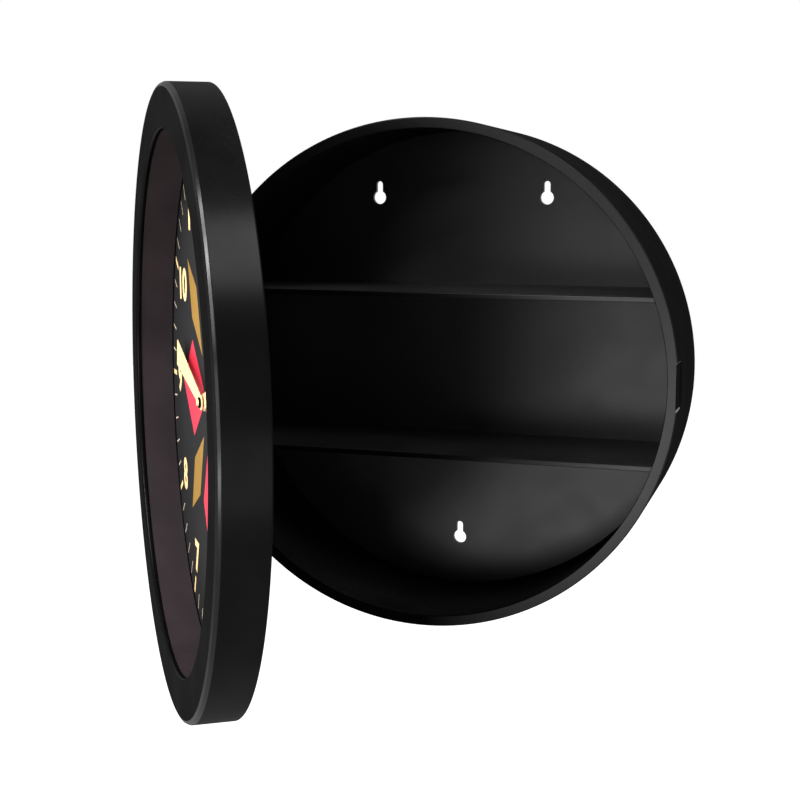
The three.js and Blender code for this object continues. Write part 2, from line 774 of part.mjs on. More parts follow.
function hourWheel() {
  const bore = minuteShaftRadius + gap;
  const pipe = ringY(bore + hourPipeWall, 0, hourHandFront - gap, hourWheelFront + gearThickness, holeSteps);
  const wheel = gear(hourWheelTeeth, spaceAtTop, hourWheelFront, hourWheelFront + gearThickness);
  const hole = ringY(bore, 0, minuteHandFront, cavityRear, holeSteps);
  return cut(join(pipe, wheel), hole);
}

function setKnob() {
  const front = rearCaseRear + gap;
  const rim = new THREE.Shape(Array.from({ length: 2 * knobFlutes }, (_, i) => (
    new THREE.Vector2(...onCircle(knobRadius - (i % 2) * knobFluteDepth, i * 180 / knobFlutes)))));
  const bore = ringY(arborRadius + gap, 0, front - overrun, front + knobThickness / 2 + gap, holeSteps);
  return cut(plateXZ(rim, front, front + knobThickness), bore);
}

// A baton with a square end and a round hub, pointing to +Z
function hand(length, rootWidth, tipWidth, bore, front) {
  const blade = new THREE.Shape([
    new THREE.Vector2(-rootWidth / 2, 0), new THREE.Vector2(rootWidth / 2, 0),
    new THREE.Vector2(tipWidth / 2, length), new THREE.Vector2(-tipWidth / 2, length),
  ]);
  const rear = front + handThickness;
  const hub = ringY(handHubRadius, 0, front, rear, 2 * holeSteps);
  const hole = ringY(bore, 0, front - overrun, rear + overrun, holeSteps);
  return cut(join(plateXZ(blade, front, rear), hub), hole);
}

const minuteHand = () => hand(
  minuteHandLength, minuteHandHubWidth, minuteHandEndWidth, minuteShaftRadius + gap, minuteHandFront,
);

// The hour hand is an open frame: two rails and a bar across the end
function hourHand() {
  const bore = minuteShaftRadius + 2 * gap + hourPipeWall;
  const half = hourHandWidth / 2 - hourHandRail;
  const window = box(
    -half, half, hourHandFront - overrun, hourHandFront + overrun,
    handHubRadius + hourHandRail, hourHandLength - hourHandRail,
  );
  return cut(hand(hourHandLength, hourHandWidth, hourHandWidth, bore, hourHandFront), window);
}

function hubCap() {
  const rear = minuteHandFront - gap;
  const front = rear - capHeight;
  const bore = minuteShaftRadius + gap;
  return turned([
    [0, front], ...arc(capRadius - capRounding, front + capRounding, capRounding, 270, 360),
    [capRadius, rear], [bore, rear], [bore, rear - capBoreDepth], [0, rear - capBoreDepth],
  ], holeSteps);
}

function group(...children) {
  const made = new THREE.Group();
  made.add(...children);
  return made;
}

function drumPieces() {
  const { blackPlastic, darkSheet, steel, magnet } = finish;
  const sides = ['upper', 'lower'];
  return [
    piece('drum_shell', drumShell(), blackPlastic),
    piece('back_panel', backPanel(), darkSheet),
    piece('upper_shelf', shelf(upperShelfHeight, 0), darkSheet),
    piece('lower_shelf', shelf(-lowerShelfDrop, 0), darkSheet),
    piece('hinge_saddle', hingeSaddle(), blackPlastic),
    piece('case_hinge_leaf', caseHingeLeaf(), steel),
    piece('hinge_pin', hingePin(), steel),
    ...caseScrewPlaces.map((place, i) => piece(`case_hinge_screw_${sides[i]}`, caseHingeScrew(place), steel)),
    ...caseScrewPlaces.map((place, i) => piece(`case_hinge_nut_${sides[i]}`, caseHingeNut(place), steel)),
    piece('catch_magnet', catchMagnet(), magnet),
  ];
}

function doorPieces() {
  const { blackPlastic, smokedPlastic, dialPrint, steel, rubber } = finish;
  const sides = ['upper', 'lower'];
  return [
    piece('bezel_frame', bezelFrame(), blackPlastic),
    piece('well_ring', wellRing(), smokedPlastic),
    piece('door_back_cover', doorBackCover(), blackPlastic),
    piece('dial_plate', dialPlate(), dialPrint),
    piece('door_hinge_leaf', doorHingeLeaf(), steel),
    piece('catch_strike', strikeBlock(0, 0), steel),
    ...coverScrewPlaces.map(([x, z], i) => (
      piece(`back_cover_screw_${i + 1}`, moved(countersink(0), x, 0, z), steel))),
    ...doorScrewPlaces.map(([x, z], i) => (
      piece(`door_hinge_screw_${sides[i]}`, moved(doorHingeScrew(), x, 0, z), steel))),
    ...bumperTurns.map((turn, i) => (
      piece(`bumper_${i + 1}`, bumperAt(turn, 0), rubber))),
  ];
}

function movementPieces() {
  const { whitePlastic, brass, steel, rubber, copper, board, cell } = finish;
  return [
    piece('movement_washer', movementWasher(), rubber),
    piece('movement_front_case', movementFrontCase(), whitePlastic),
    piece('movement_rear_case', movementRearCase(), whitePlastic),
    piece('threaded_bushing', threadedBushing(), brass),
    piece('bushing_nut', bushingNut(), brass),
    piece('circuit_board', circuitBoard(), board),
    piece('drive_coil', driveCoil(), copper),
    piece('battery_cell', batteryCell(), cell),
    piece('battery_contact_positive', batteryContact(1), steel),
    piece('battery_contact_negative', batteryContact(-1), steel),
  ];
}

// Pieces on the dial's axis turn about Y, clockwise as seen from the front
function turnedGroup(degrees, ...children) {
  const made = group(...children);
  made.rotation.y = THREE.MathUtils.degToRad(degrees);
  return made;
}

function handPieces() {
  const { gold, whitePlastic, steel, blackPlastic } = finish;
  const minutes = turnedGroup(
    minuteTurn, piece('minute_hand', minuteHand(), gold), piece('hub_cap', hubCap(), blackPlastic),
  );
  const hours = turnedGroup(hourTurn, piece('hour_hand', hourHand(), gold));
  const setting = group(
    piece('minute_wheel', minuteWheel(), whitePlastic), piece('set_knob', setKnob(), whitePlastic),
  );
  setting.position.z = gearSpacing;
  const shaft = piece('minute_shaft', minuteShaft(), steel);
  return [minutes, hours, setting, shaft, piece('hour_wheel', hourWheel(), whitePlastic)];
}

const door = group(...doorPieces(), ...movementPieces(), ...handPieces());
door.position.set(-hingeX, doorFront - hingeY, 0);
const swing = group(door);
swing.position.set(hingeX, hingeY, 0);
swing.rotation.z = -THREE.MathUtils.degToRad(openAngle);

export default group(...drumPieces(), swing);
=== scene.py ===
import math

import bmesh
import bpy
from mathutils import Matrix, Vector


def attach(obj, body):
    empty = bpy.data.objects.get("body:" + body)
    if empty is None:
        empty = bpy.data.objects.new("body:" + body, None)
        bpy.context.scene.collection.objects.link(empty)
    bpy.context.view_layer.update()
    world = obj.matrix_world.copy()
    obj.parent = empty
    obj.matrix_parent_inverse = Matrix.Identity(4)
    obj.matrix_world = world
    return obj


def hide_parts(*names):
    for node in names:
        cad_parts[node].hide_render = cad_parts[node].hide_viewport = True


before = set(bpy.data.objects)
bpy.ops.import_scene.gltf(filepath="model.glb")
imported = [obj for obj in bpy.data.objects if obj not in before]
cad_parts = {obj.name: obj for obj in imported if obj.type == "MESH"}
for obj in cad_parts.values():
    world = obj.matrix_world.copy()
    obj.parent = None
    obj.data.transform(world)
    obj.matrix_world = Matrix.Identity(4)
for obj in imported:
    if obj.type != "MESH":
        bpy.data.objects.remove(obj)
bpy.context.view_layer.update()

# Sizes are in millimetres until a piece is placed, as on a workshop drawing
mm = 0.001
lathe_steps = 320
fine_steps = 96
screw_steps = 64
small_steps = 48
overrun = 2.0
# Distances in metres at which corners count as one
seam, touching = 1e-7, 1e-6
bevel_angle, smooth_angle, flat_angle = (math.radians(angle) for angle in (35, 32, 0.4))

# Drum, turned about the wall's normal: the wall is at 0 and the lip at minus its depth
drum_radius, drum_rear_radius, drum_depth = 168.0, 166.0, 101.0
rim_inner_radius, rim_thickness = 161.0, 3.0
bore_front_radius, bore_rear_radius = 164.5, 162.5
rim_rear = rim_thickness - drum_depth
panel_seat_radius, panel_seat_depth = 164.2, 3.3
panel_radius, panel_thickness = 163.9, 3.0
keyhole_head_radius, keyhole_slot_radius, keyhole_height = 4.75, 2.35, 16.3
keyhole_places = ((-61.5, 116.4), (61.5, 116.4), (0, -129.6))
shelf_heights = (53.95, -52.95)
shelf_slot_depth, shelf_slot_half = 1.6, 1.95
recess_radius, recess_rear, recess_half_height = 166.4, -80.0, 15.5
case_leaf_y, case_screw_height = -79.9, 16
case_bore_radius, case_bore_outer_end, case_bore_inner_end = 2.2, -182, -150

# Door, turned about the dial's axis: its places on that axis count from the bezel's front
door_radius, door_depth, opening_radius = 181.4, 27.0, 155.5
bezel_thickness, bezel_bore_radius, well_seat = 3.0, 178.4, 3.4
rib_outer_radius, rib_inner_radius, rib_depth = 161.4, 159.6, 6.4
well_front_radius, well_rear_radius, well_outer_radius = 156.3, 156.8, 159.3
well_front, inside_rear = 3.7, 24.7
boss_radius, boss_front, screw_hole_front = 3.7, 2.7, 6.0
cover_radius, cover_front = 178.1, 25.0
pan_radius, pan_front, pan_rear = 157.1, 26.5, 28.2
pad_radius, pad_front, pad_rear, pad_half_height = 169.0, 26.0, 27.9, 44.3
screw_circle, screw_count, screw_hole_radius = 171.5, 6, 1.75
sink_front, sink_rear, sink_radius = 25.2, 26.7, 3.1
leaf_screw_across, leaf_screw_height = -169.39, 38.0
bumper_circle, bumper_radius, bumper_hole_radius = 164.5, 3, 3.3
bumper_turns = (75, 150, 210, 285)
strike_inner_radius, strike_outer_radius, strike_half_height = 161.0, 169.6, 13.3
cut_front, cut_rear = 20, 31
dial_front, dial_rear, dial_radius, dial_hole = 25.4, 26.2, 156.8, 4.25
tick_outer_radius, numeral_circle, numeral_size = 154.3, 124.4, 27.5
print_sink, film, numeral_lift = 0.02, 0.05, 0.12
hinge_x, hinge_y, closed_front = -176.4, -96.9, -129.1
open_angle = math.radians(55.5)
minute_turn, hour_turn = 280.9, 72

across = Vector((math.cos(open_angle), -math.sin(open_angle), 0))
inward = Vector((math.sin(open_angle), math.cos(open_angle), 0))
upward = Vector((0, 0, 1))


def placed(x_axis, y_axis, z_axis, origin):
    """A place: where a piece's own axes and origin go, with the origin in millimetres."""
    place = Matrix.Identity(4)
    for column, axis in enumerate((x_axis, y_axis, z_axis, Vector(origin) * mm)):
        for row in range(3):
            place[row][column] = axis[row]
    return place


front_centre = (
    Vector((hinge_x, hinge_y, 0)) - across * hinge_x + inward * (closed_front - hinge_y)
)
at_wall = Matrix.Identity(4)
at_door = placed(across, inward, upward, front_centre)


def on_axis(turn_degrees):
    """The place of a piece that is turned clockwise on the dial's axis, as seen from the front."""
    return at_door @ Matrix.Rotation(math.radians(turn_degrees), 4, "Y")


def shifted(x=0.0, y=0.0, z=0.0):
    """A move in millimetres."""
    return Matrix.Translation((x * mm, y * mm, z * mm))


# Node trees: one small maker for every node, and the shared effects


def feed(tree, made, inputs):
    """Gives a node's inputs their plain values, or the sockets that feed them."""
    for name, value in inputs.items():
        if isinstance(value, bpy.types.NodeSocket):
            tree.links.new(value, made.inputs[name])
        else:
            made.inputs[name].default_value = value


def node(tree, kind, inputs=None, **settings):
    """Adds a node, with its settings and inputs."""
    made = tree.nodes.new(kind)
    for name, value in settings.items():
        setattr(made, name, value)
    feed(tree, made, inputs or {})
    return made


def maths(tree, operation, first, second=0.0):
    """One step of arithmetic on two values."""
    return node(tree, "ShaderNodeMath", {0: first, 1: second}, operation=operation).outputs[0]


def spread(tree, value, low, high, to_low=0.0, to_high=1.0):
    """Moves a value's range to another, held at both ends."""
    return node(
        tree,
        "ShaderNodeMapRange",
        {"Value": value, "From Min": low, "From Max": high, "To Min": to_low, "To Max": to_high},
    ).outputs[0]


def blended(tree, share, first, second):
    """One colour where share is 0 and another where it is 1."""
    mix = node(tree, "ShaderNodeMix", {0: share, 6: first, 7: second}, data_type="RGBA")
    return mix.outputs[2]


def effect(name, inputs, outputs):
    """An empty shared effect with its named sockets."""
    tree = bpy.data.node_groups.new(name, "ShaderNodeTree")
    for label, value in inputs.items():
        socket = tree.interface.new_socket(label, in_out="INPUT", socket_type="NodeSocketFloat")
        socket.default_value = value
    for label in outputs:
        tree.interface.new_socket(label, in_out="OUTPUT", socket_type="NodeSocketFloat")
    return tree, tree.nodes.new("NodeGroupInput"), tree.nodes.new("NodeGroupOutput")


def noise(tree, place, scale, detail=2.0, roughness=0.5):
    """A cloudy value from 0 to 1, with its grains counted to the metre."""
    return node(
        tree,
        "ShaderNodeTexNoise",
        {"Vector": place, "Scale": scale, "Detail": detail, "Roughness": roughness},
    ).outputs["Fac"]


def object_place(tree):
    """The place on the piece, which a pattern follows."""
    return node(tree, "ShaderNodeTexCoord").outputs["Object"]


def moulded_skin():
    """The fine spark-eroded skin of a moulding, with the slow flow marks under it."""
    tree, given, out = effect(
        "moulded_skin", {"Grain": 2600.0, "Flow": 22.0}, ("Height", "Flow marks")
    )
    place, scale = object_place(tree), given.outputs["Grain"]
    grain = noise(tree, place, scale, detail=3.0, roughness=0.6)
    pits = node(tree, "ShaderNodeTexVoronoi", {"Vector": place, "Scale": scale})
    pits = maths(tree, "MULTIPLY", pits.outputs["Distance"], 0.6)
    flow = noise(tree, place, given.outputs["Flow"], detail=4.0, roughness=0.55)
    feed(tree, out, {"Height": maths(tree, "ADD", grain, pits), "Flow marks": flow})
    return tree


def settled_dust():
    """Fine dust and handling marks: more on faces that look up, in soft patches."""
    tree, given, out = effect("settled_dust", {"Amount": 0.5}, ("Dust", "Smudge"))
    place, amount = object_place(tree), given.outputs["Amount"]
    normal = node(tree, "ShaderNodeNewGeometry").outputs["Normal"]
    rise = node(tree, "ShaderNodeSeparateXYZ", {0: normal}).outputs["Z"]
    lying = spread(tree, rise, 0.55, 1.0)
    fine = noise(tree, place, 900.0, detail=4.0, roughness=0.7)
    specks = spread(tree, fine, 0.5, 0.75)
    broad = noise(tree, place, 14.0, detail=3.0)
    patches = spread(tree, broad, 0.4, 0.7, 0.15, 1.0)
    fallen = maths(tree, "MULTIPLY", maths(tree, "MULTIPLY", lying, specks), patches)
    handled = noise(tree, place, 35.0, detail=5.0, roughness=0.6)
    smudge = spread(tree, handled, 0.45, 0.8)
    feed(tree, out, {
        "Dust": maths(tree, "MULTIPLY", fallen, amount),
        "Smudge": maths(tree, "MULTIPLY", smudge, amount),
    })
    return tree


def drawn_lines():
    """The streaks that rolling or turning leaves in metal, finer across than along."""
    tree, given, out = effect(
        "drawn_lines", {"Along": 50.0, "Across": 2000.0}, ("Height", "Streaks")
    )
    finer, longer = given.outputs["Across"], given.outputs["Along"]
    stretch = node(tree, "ShaderNodeCombineXYZ", {"X": finer, "Y": finer, "Z": longer})
    drawn = node(
        tree, "ShaderNodeVectorMath", {0: object_place(tree), 1: stretch.outputs[0]},
        operation="MULTIPLY",
    ).outputs["Vector"]
    streaks = noise(tree, drawn, 1.0, detail=3.0, roughness=0.6)
    feed(tree, out, {"Height": streaks, "Streaks": spread(tree, streaks, 0.3, 0.7)})
    return tree


def rubbed_edges():
    """Where an outer edge has been rubbed bright, broken up so that it isn't even."""
    tree, given, out = effect("rubbed_edges", {"Reach": 0.08}, ("Rubbed",))
    edge = node(tree, "ShaderNodeNewGeometry").outputs["Pointiness"]
    flat, barely_sharp = 0.5, 0.505
    top = maths(tree, "ADD", flat, given.outputs["Reach"])
    sharp = spread(tree, edge, barely_sharp, top)
    patchy = noise(tree, object_place(tree), 180.0, detail=4.0)
    broken = spread(tree, patchy, 0.35, 0.65, 0.2, 1.0)
    feed(tree, out, {"Rubbed": maths(tree, "MULTIPLY", sharp, broken)})
    return tree


def rubbed_side():
    """A share that grows from the hinge side and the foot toward 3 o'clock, as painted light: low
    where the hinge side and the foot lie in shade, high toward 3 o'clock where the light falls.
    """
    tree, given, out = effect("rubbed_side", {"Reach": 0.1}, ("Rubbed",))
    at = node(tree, "ShaderNodeSeparateXYZ", {0: object_place(tree)}).outputs
    lean = maths(tree, "ADD", at["X"], maths(tree, "MULTIPLY", at["Z"], 0.35))
    start = maths(tree, "MULTIPLY", given.outputs["Reach"], -0.45)
    feed(tree, out, {"Rubbed": spread(tree, lean, start, given.outputs["Reach"])})
    return tree


skin, dust, lines = moulded_skin(), settled_dust(), drawn_lines()
rubbed, lit_side = rubbed_edges(), rubbed_side()


def placed_effect(tree, group, **values):
    """A shared effect set in a material's tree with its own values. Returns what it puts out."""
    return node(tree, "ShaderNodeGroup", values, node_tree=group).outputs


# Finishes


def colour(red, green, blue):
    """A colour as a screen shows it, 0 to 255, turned to light."""
    def light(value):
        value /= 255
        return value / 12.92 if value <= 0.04045 else ((value + 0.055) / 1.055) ** 2.4

    return (light(red), light(green), light(blue), 1.0)


def grey(level):
    """A neutral colour."""
    return colour(level, level, level)


def bare_material(name):
    """A material with nothing but its shader."""
    made = bpy.data.materials.new(name)
    made.use_nodes = True
    tree = made.node_tree
    tree.nodes.clear()
    shader = node(tree, "ShaderNodeBsdfPrincipled")
    node(tree, "ShaderNodeOutputMaterial", {"Surface": shader.outputs["BSDF"]})
    return made, tree, shader


fine_relief = 0.0001


def relief(tree, height, depth, distance=2 * fine_relief):
    """A height as a bump in the surface."""
    bump = node(
        tree, "ShaderNodeBump", {"Height": height, "Strength": depth, "Distance": distance}
    )
    return bump.outputs["Normal"]


def moulding(
    name, dark, pale, shine, grain=2600.0, depth=0.25, gloss_level=0.5, dusty=0.5, polish=0.0
):
    """Moulded plastic or painted board: two near tones in the flow marks, a fine skin and a little
    dust. Polish is the share of a satin top skin, over a body with its own gloss level."""
    made, tree, shader = bare_material(name)
    face = placed_effect(tree, skin, Grain=grain)
    lying = placed_effect(tree, dust, Amount=dusty)
    tone = blended(tree, spread(tree, face["Flow marks"], 0.35, 0.65), dark, pale)
    dusted = maths(tree, "MULTIPLY", lying["Dust"], 0.25)
    rough = spread(tree, face["Flow marks"], 0.3, 0.7, shine - 0.03, shine + 0.04)
    rough = maths(tree, "ADD", rough, maths(tree, "MULTIPLY", lying["Smudge"], 0.05))
    rough = maths(tree, "ADD", rough, maths(tree, "MULTIPLY", lying["Dust"], 0.3))
    feed(tree, shader, {
        "Base Color": blended(tree, dusted, tone, colour(150, 148, 144)),
        "Roughness": rough,
        "Specular IOR Level": gloss_level,
        "Normal": relief(tree, face["Height"], depth),
    })
    if polish:
        mask = spread(tree, face["Flow marks"], 0.3, 0.7, polish * 0.85, polish * 1.1)
        feed(tree, shader, {"Coat Weight": mask, "Coat Roughness": shine})
    return made


def rubbed_rim(name, dark, pale, shine, polish, fade):
    """A front edge of the case with painted light: painted shade, near black, toward the hinge
    side and the foot, and a painted satin sheen in its coat toward 3 o'clock.
    """
    made, tree, shader = bare_material(name)
    face = placed_effect(tree, skin, Grain=2200.0)
    mask = maths(tree, "POWER", placed_effect(tree, lit_side, Reach=0.12)["Rubbed"], fade)
    flow = spread(tree, face["Flow marks"], 0.35, 0.65)
    tone = blended(tree, flow, dark, pale)
    # Painted light: a near-black base and no coat where the ramp is low (painted shade), a satin
    # coat where it is high (painted sheen).
    feed(tree, shader, {
        "Base Color": blended(tree, mask, grey(2), tone),
        "Roughness": spread(tree, flow, 0.0, 1.0, shine, shine + 0.06),
        "Specular IOR Level": 0.0,
        "Coat Weight": spread(tree, mask, 0.0, 1.0, 0.0, polish),
        "Coat Roughness": shine,
        "Normal": relief(tree, face["Height"], 0.1),
    })
    return made


def metal(name, dark, pale, shine, edge):
    """Plated, turned or rolled metal: streaks in tone and gloss, with brighter rubbed edges."""
    made, tree, shader = bare_material(name)
    drawn = placed_effect(tree, lines, Along=60.0, Across=2400.0)
    mask = placed_effect(tree, rubbed, Reach=0.1)
    cloud = noise(tree, object_place(tree), 120.0, detail=3.0)
    cloud = spread(tree, cloud, 0.3, 0.7, 0.0, 0.5)
    tone = blended(tree, drawn["Streaks"], dark, pale)
    tone = blended(tree, cloud, tone, dark)
    feed(tree, shader, {
        "Base Color": blended(tree, mask["Rubbed"], tone, edge),
        "Roughness": spread(tree, drawn["Streaks"], 0.0, 1.0, shine - 0.05, shine + 0.08),
        "Metallic": 1.0,
        "Normal": relief(tree, drawn["Height"], 0.15, fine_relief),
    })
    return made


def ink(name, dark, pale, shine, speckle=1400.0, gloss_level=0.1):
    """Printed or painted colour with the fine unevenness of a screen print."""
    made, tree, shader = bare_material(name)
    place = object_place(tree)
    grain = noise(tree, place, speckle, detail=3.0, roughness=0.6)
    grain = spread(tree, grain, 0.35, 0.65)
    wash = spread(tree, noise(tree, place, 30.0), 0.35, 0.65, 0.0, 0.6)
    feed(tree, shader, {
        "Base Color": blended(tree, wash, blended(tree, grain, dark, pale), dark),
        "Roughness": spread(tree, grain, 0.0, 1.0, shine + 0.05, shine),
        "Specular IOR Level": gloss_level,
        "Normal": relief(tree, grain, 0.1, fine_relief),
    })
    return made


def wound_copper():
    """Enamelled wire in tight turns round the upright coil."""
    made, tree, shader = bare_material("copper_wire")
    height = node(tree, "ShaderNodeSeparateXYZ", {0: object_place(tree)}).outputs["Z"]
    wire = 0.0003
    turns = maths(tree, "SINE", maths(tree, "MULTIPLY", height, 2 * math.pi / wire))
    share = spread(tree, turns, -1.0, 1.0)
    feed(tree, shader, {
        "Base Color": blended(tree, share, colour(92, 40, 18), colour(196, 112, 62)),
        "Roughness": spread(tree, share, 0.0, 1.0, 0.5, 0.3),
        "Metallic": 0.9,
        "Normal": relief(tree, share, 0.6, fine_relief),
    })
    return made


def printed_board():
    """Green lacquered board with lighter tracks and tinned pads."""
    made, tree, shader = bare_material("circuit_board")
    place = object_place(tree)
    tracks = node(
        tree,
        "ShaderNodeTexBrick",
        {"Vector": place, "Scale": 260.0, "Mortar Size": 0.03, "Color1": (0, 0, 0, 1),
         "Color2": (0.15, 0.15, 0.15, 1), "Mortar": (1, 1, 1, 1)},
    ).outputs["Color"]
    pads = node(tree, "ShaderNodeTexVoronoi", {"Vector": place, "Scale": 420.0})
    dots = spread(tree, pads.outputs["Distance"], 0.16, 0.2, 1.0, 0.0)
    tone = blended(tree, tracks, colour(22, 74, 42), colour(54, 122, 70))
    feed(tree, shader, {
        "Base Color": blended(tree, dots, tone, colour(176, 176, 170)),
        "Roughness": spread(tree, dots, 0.0, 1.0, 0.42, 0.3),
        "Normal": relief(tree, tracks, 0.2, fine_relief),
    })
    return made


black_plastic = moulding(
    "black_plastic", grey(3), grey(5), 0.25, depth=0.1, gloss_level=0.0, dusty=0.2, polish=0.085
)
edge_plastic = moulding(
    "edge_plastic", grey(5), grey(8), 0.2, depth=0.03, gloss_level=0.0, dusty=0.0, polish=0.24
)
face_plastic = moulding(
    "face_plastic", grey(12), grey(16), 0.5, depth=0.2, gloss_level=0.0, dusty=0.3, polish=0.03
)
well_plastic = moulding(
    "well_plastic", colour(38, 33, 35), colour(45, 39, 41), 0.5, grain=2200.0, gloss_level=0.0,
    dusty=0.2, polish=0.1,
)
drum_plastic = moulding(
    "drum_plastic", grey(7), grey(10), 0.5, grain=2200.0, gloss_level=0.0, dusty=0.3, polish=0.03
)
# The lip's front and the shelves' front edges: painted shade toward the hinge side and the foot,
# and a painted sheen toward 3 o'clock.
rim_plastic = rubbed_rim("rim_plastic", grey(5), grey(8), 0.25, polish=0.16, fade=1.0)
shelf_edge = rubbed_rim("shelf_edge", grey(7), grey(10), 0.42, polish=0.42, fade=2.0)
# Pale grey for the finger recess's end faces: painted highlights, the light strokes along those
# edges.
worn_plastic = moulding(
    "worn_plastic", grey(52), grey(66), 0.4, grain=2200.0, depth=0.15, dusty=0.3
)
black_sheet = moulding(
    "black_sheet", grey(6), grey(9), 0.42, grain=1500.0, depth=0.2, gloss_level=0.22, dusty=0.2
)
rubber = moulding(
    "rubber", grey(18), grey(30), 0.85, grain=3200.0, depth=0.5, gloss_level=0.3, dusty=1.0
)
magnet = moulding(
    "magnet", colour(48, 48, 50), colour(66, 66, 68), 0.55, grain=2400.0, depth=0.6,
    gloss_level=0.6,
)
movement_plastic = moulding(
    "movement_plastic", colour(208, 208, 200), colour(222, 222, 216), 0.45, grain=2000.0,
    depth=0.3, dusty=0.8,
)
zinc_steel = metal(
    "zinc_steel", colour(136, 138, 142), colour(184, 186, 190), 0.3, edge=colour(225, 226, 228)
)
brass = metal(
    "brass", colour(150, 112, 46), colour(206, 168, 88), 0.26, edge=colour(236, 206, 138)
)
copper_wire, circuit_board = wound_copper(), printed_board()
dial_print = ink(
    "dial_print", colour(30, 30, 31), colour(36, 36, 37), 0.6, speckle=1100.0, gloss_level=0.02
)
cream_gold = ink("cream_gold_ink", colour(226, 190, 132), colour(244, 216, 166), 0.45)
tick_gold = ink("tick_ink", colour(176, 156, 140), colour(206, 186, 168), 0.5)
outline_ink = ink("outline_ink", grey(10), grey(16), 0.5)
old_gold = ink("old_gold_ink", colour(128, 96, 36), colour(150, 114, 46), 0.5)
crimson = ink("crimson_ink", colour(184, 42, 62), colour(208, 56, 76), 0.5)
hand_gold = ink(
    "hand_gold", colour(232, 192, 136), colour(248, 220, 170), 0.32, speckle=1800.0,
    gloss_level=0.3,
)
wrapper = ink("battery_wrapper", colour(40, 92, 150), colour(52, 108, 168), 0.35, gloss_level=0.5)
wrapper_band = ink(
    "battery_band", colour(208, 208, 204), colour(226, 226, 222), 0.35, gloss_level=0.5
)


# Shaping


def filleted(*corners, steps=5):
    """An outline from [radius, place, rounding] corners, each rounded by its own radius."""
    points = []
    count = len(corners)
    for i, (x, y, rounding) in enumerate(corners):
        here = Vector((x, y))
        back = Vector(corners[i - 1][:2]) - here
        ahead = Vector(corners[(i + 1) % count][:2]) - here
        if rounding <= 0 or back.length == 0 or ahead.length == 0:
            points.append((x, y))
            continue
        back.normalize(), ahead.normalize()
        half = math.acos(max(-1.0, min(1.0, back.dot(ahead)))) / 2
        centre = here + (back + ahead).normalized() * (rounding / math.sin(half))
        start = here + back * (rounding / math.tan(half)) - centre
        end = here + ahead * (rounding / math.tan(half)) - centre
        sweep = math.atan2(start.cross(end), start.dot(end))
        for step in range(steps + 1):
            a = sweep * step / steps
            turn = Vector((
                start.x * math.cos(a) - start.y * math.sin(a),
                start.x * math.sin(a) + start.y * math.cos(a),
            ))
            points.append(tuple(centre + turn))
    return points


def new_mesh(name, vertices, edges=(), faces=()):
    """A mesh from its corners in metres."""
    made = bpy.data.meshes.new(name)
    made.from_pydata([tuple(v) for v in vertices], list(edges), list(faces))
    made.update()
    return made


def plain_result(source, name):
    """What an object's modifiers make of it, as a plain mesh. The object itself goes."""
    bpy.context.view_layer.update()
    graph = bpy.context.evaluated_depsgraph_get()
    made = bpy.data.meshes.new_from_object(source.evaluated_get(graph))
    made.name = name
    bpy.data.objects.remove(source)
    return made


def on_bench(mesh):
    """Puts a mesh in the scene so that modifiers can work on it."""
    made = bpy.data.objects.new(mesh.name, mesh)
    bpy.context.scene.collection.objects.link(made)
    return made


def geometry_tree(name, inputs):
    """An empty Geometry Nodes tree with its named inputs."""
    tree = bpy.data.node_groups.new(name, "GeometryNodeTree")
    tree.interface.new_socket("Geometry", in_out="INPUT", socket_type="NodeSocketGeometry")
    for label, kind in inputs:
        tree.interface.new_socket(label, in_out="INPUT", socket_type=kind)
    tree.interface.new_socket("Geometry", in_out="OUTPUT", socket_type="NodeSocketGeometry")
    return tree, node(tree, "NodeGroupInput"), node(tree, "NodeGroupOutput")


def through_tree(mesh, tree, values):
    """Runs a mesh through a tree with these named values, and returns a plain mesh."""
    bench = on_bench(mesh)
    modifier = bench.modifiers.new(tree.name, "NODES")
    modifier.node_group = tree
    for item in tree.interface.items_tree:
        if item.in_out == "INPUT" and item.name in values:
            modifier[item.identifier] = values[item.name]
    return plain_result(bench, mesh.name)


def dressed_tree(tree, result, given, out):
    """Ends a tree: its result as plain faces, in the finish that it is given."""
    whole = node(tree, "GeometryNodeRealizeInstances", {"Geometry": result})
    dressed = node(
        tree,
        "GeometryNodeSetMaterial",
        {"Geometry": whole.outputs["Geometry"], "Material": given.outputs["Finish"]},
    )
    feed(tree, out, {"Geometry": dressed.outputs["Geometry"]})
    return tree


def lathe_tree():
    """Sweeps an outline of radius and place round the Y axis. The spindle's own radius, which the
    outline is moved back by, cancels out."""
    tree, given, out = geometry_tree(
        "turned_on_lathe",
        (("Steps", "NodeSocketInt"), ("Finish", "NodeSocketMaterial")),
    )
    spindle = 0.05
    outline = node(tree, "GeometryNodeMeshToCurve", {"Mesh": given.outputs["Geometry"]})
    outline = node(
        tree,
        "GeometryNodeTransform",
        {"Geometry": outline.outputs["Curve"], "Translation": (-spindle, 0, 0)},
    )
    path = node(
        tree,
        "GeometryNodeCurvePrimitiveCircle",
        {"Resolution": given.outputs["Steps"], "Radius": spindle},
    )
    swept = node(
        tree,
        "GeometryNodeCurveToMesh",
        {"Curve": path.outputs["Curve"], "Profile Curve": outline.outputs["Geometry"]},
    )
    stood = node(
        tree,
        "GeometryNodeTransform",
        {"Geometry": swept.outputs["Mesh"], "Rotation": (math.pi / 2, 0, 0)},
    )
    closed = node(
        tree,
        "GeometryNodeMergeByDistance",
        {"Geometry": stood.outputs["Geometry"], "Distance": seam},
    )
    return dressed_tree(tree, closed.outputs["Geometry"], given, out)


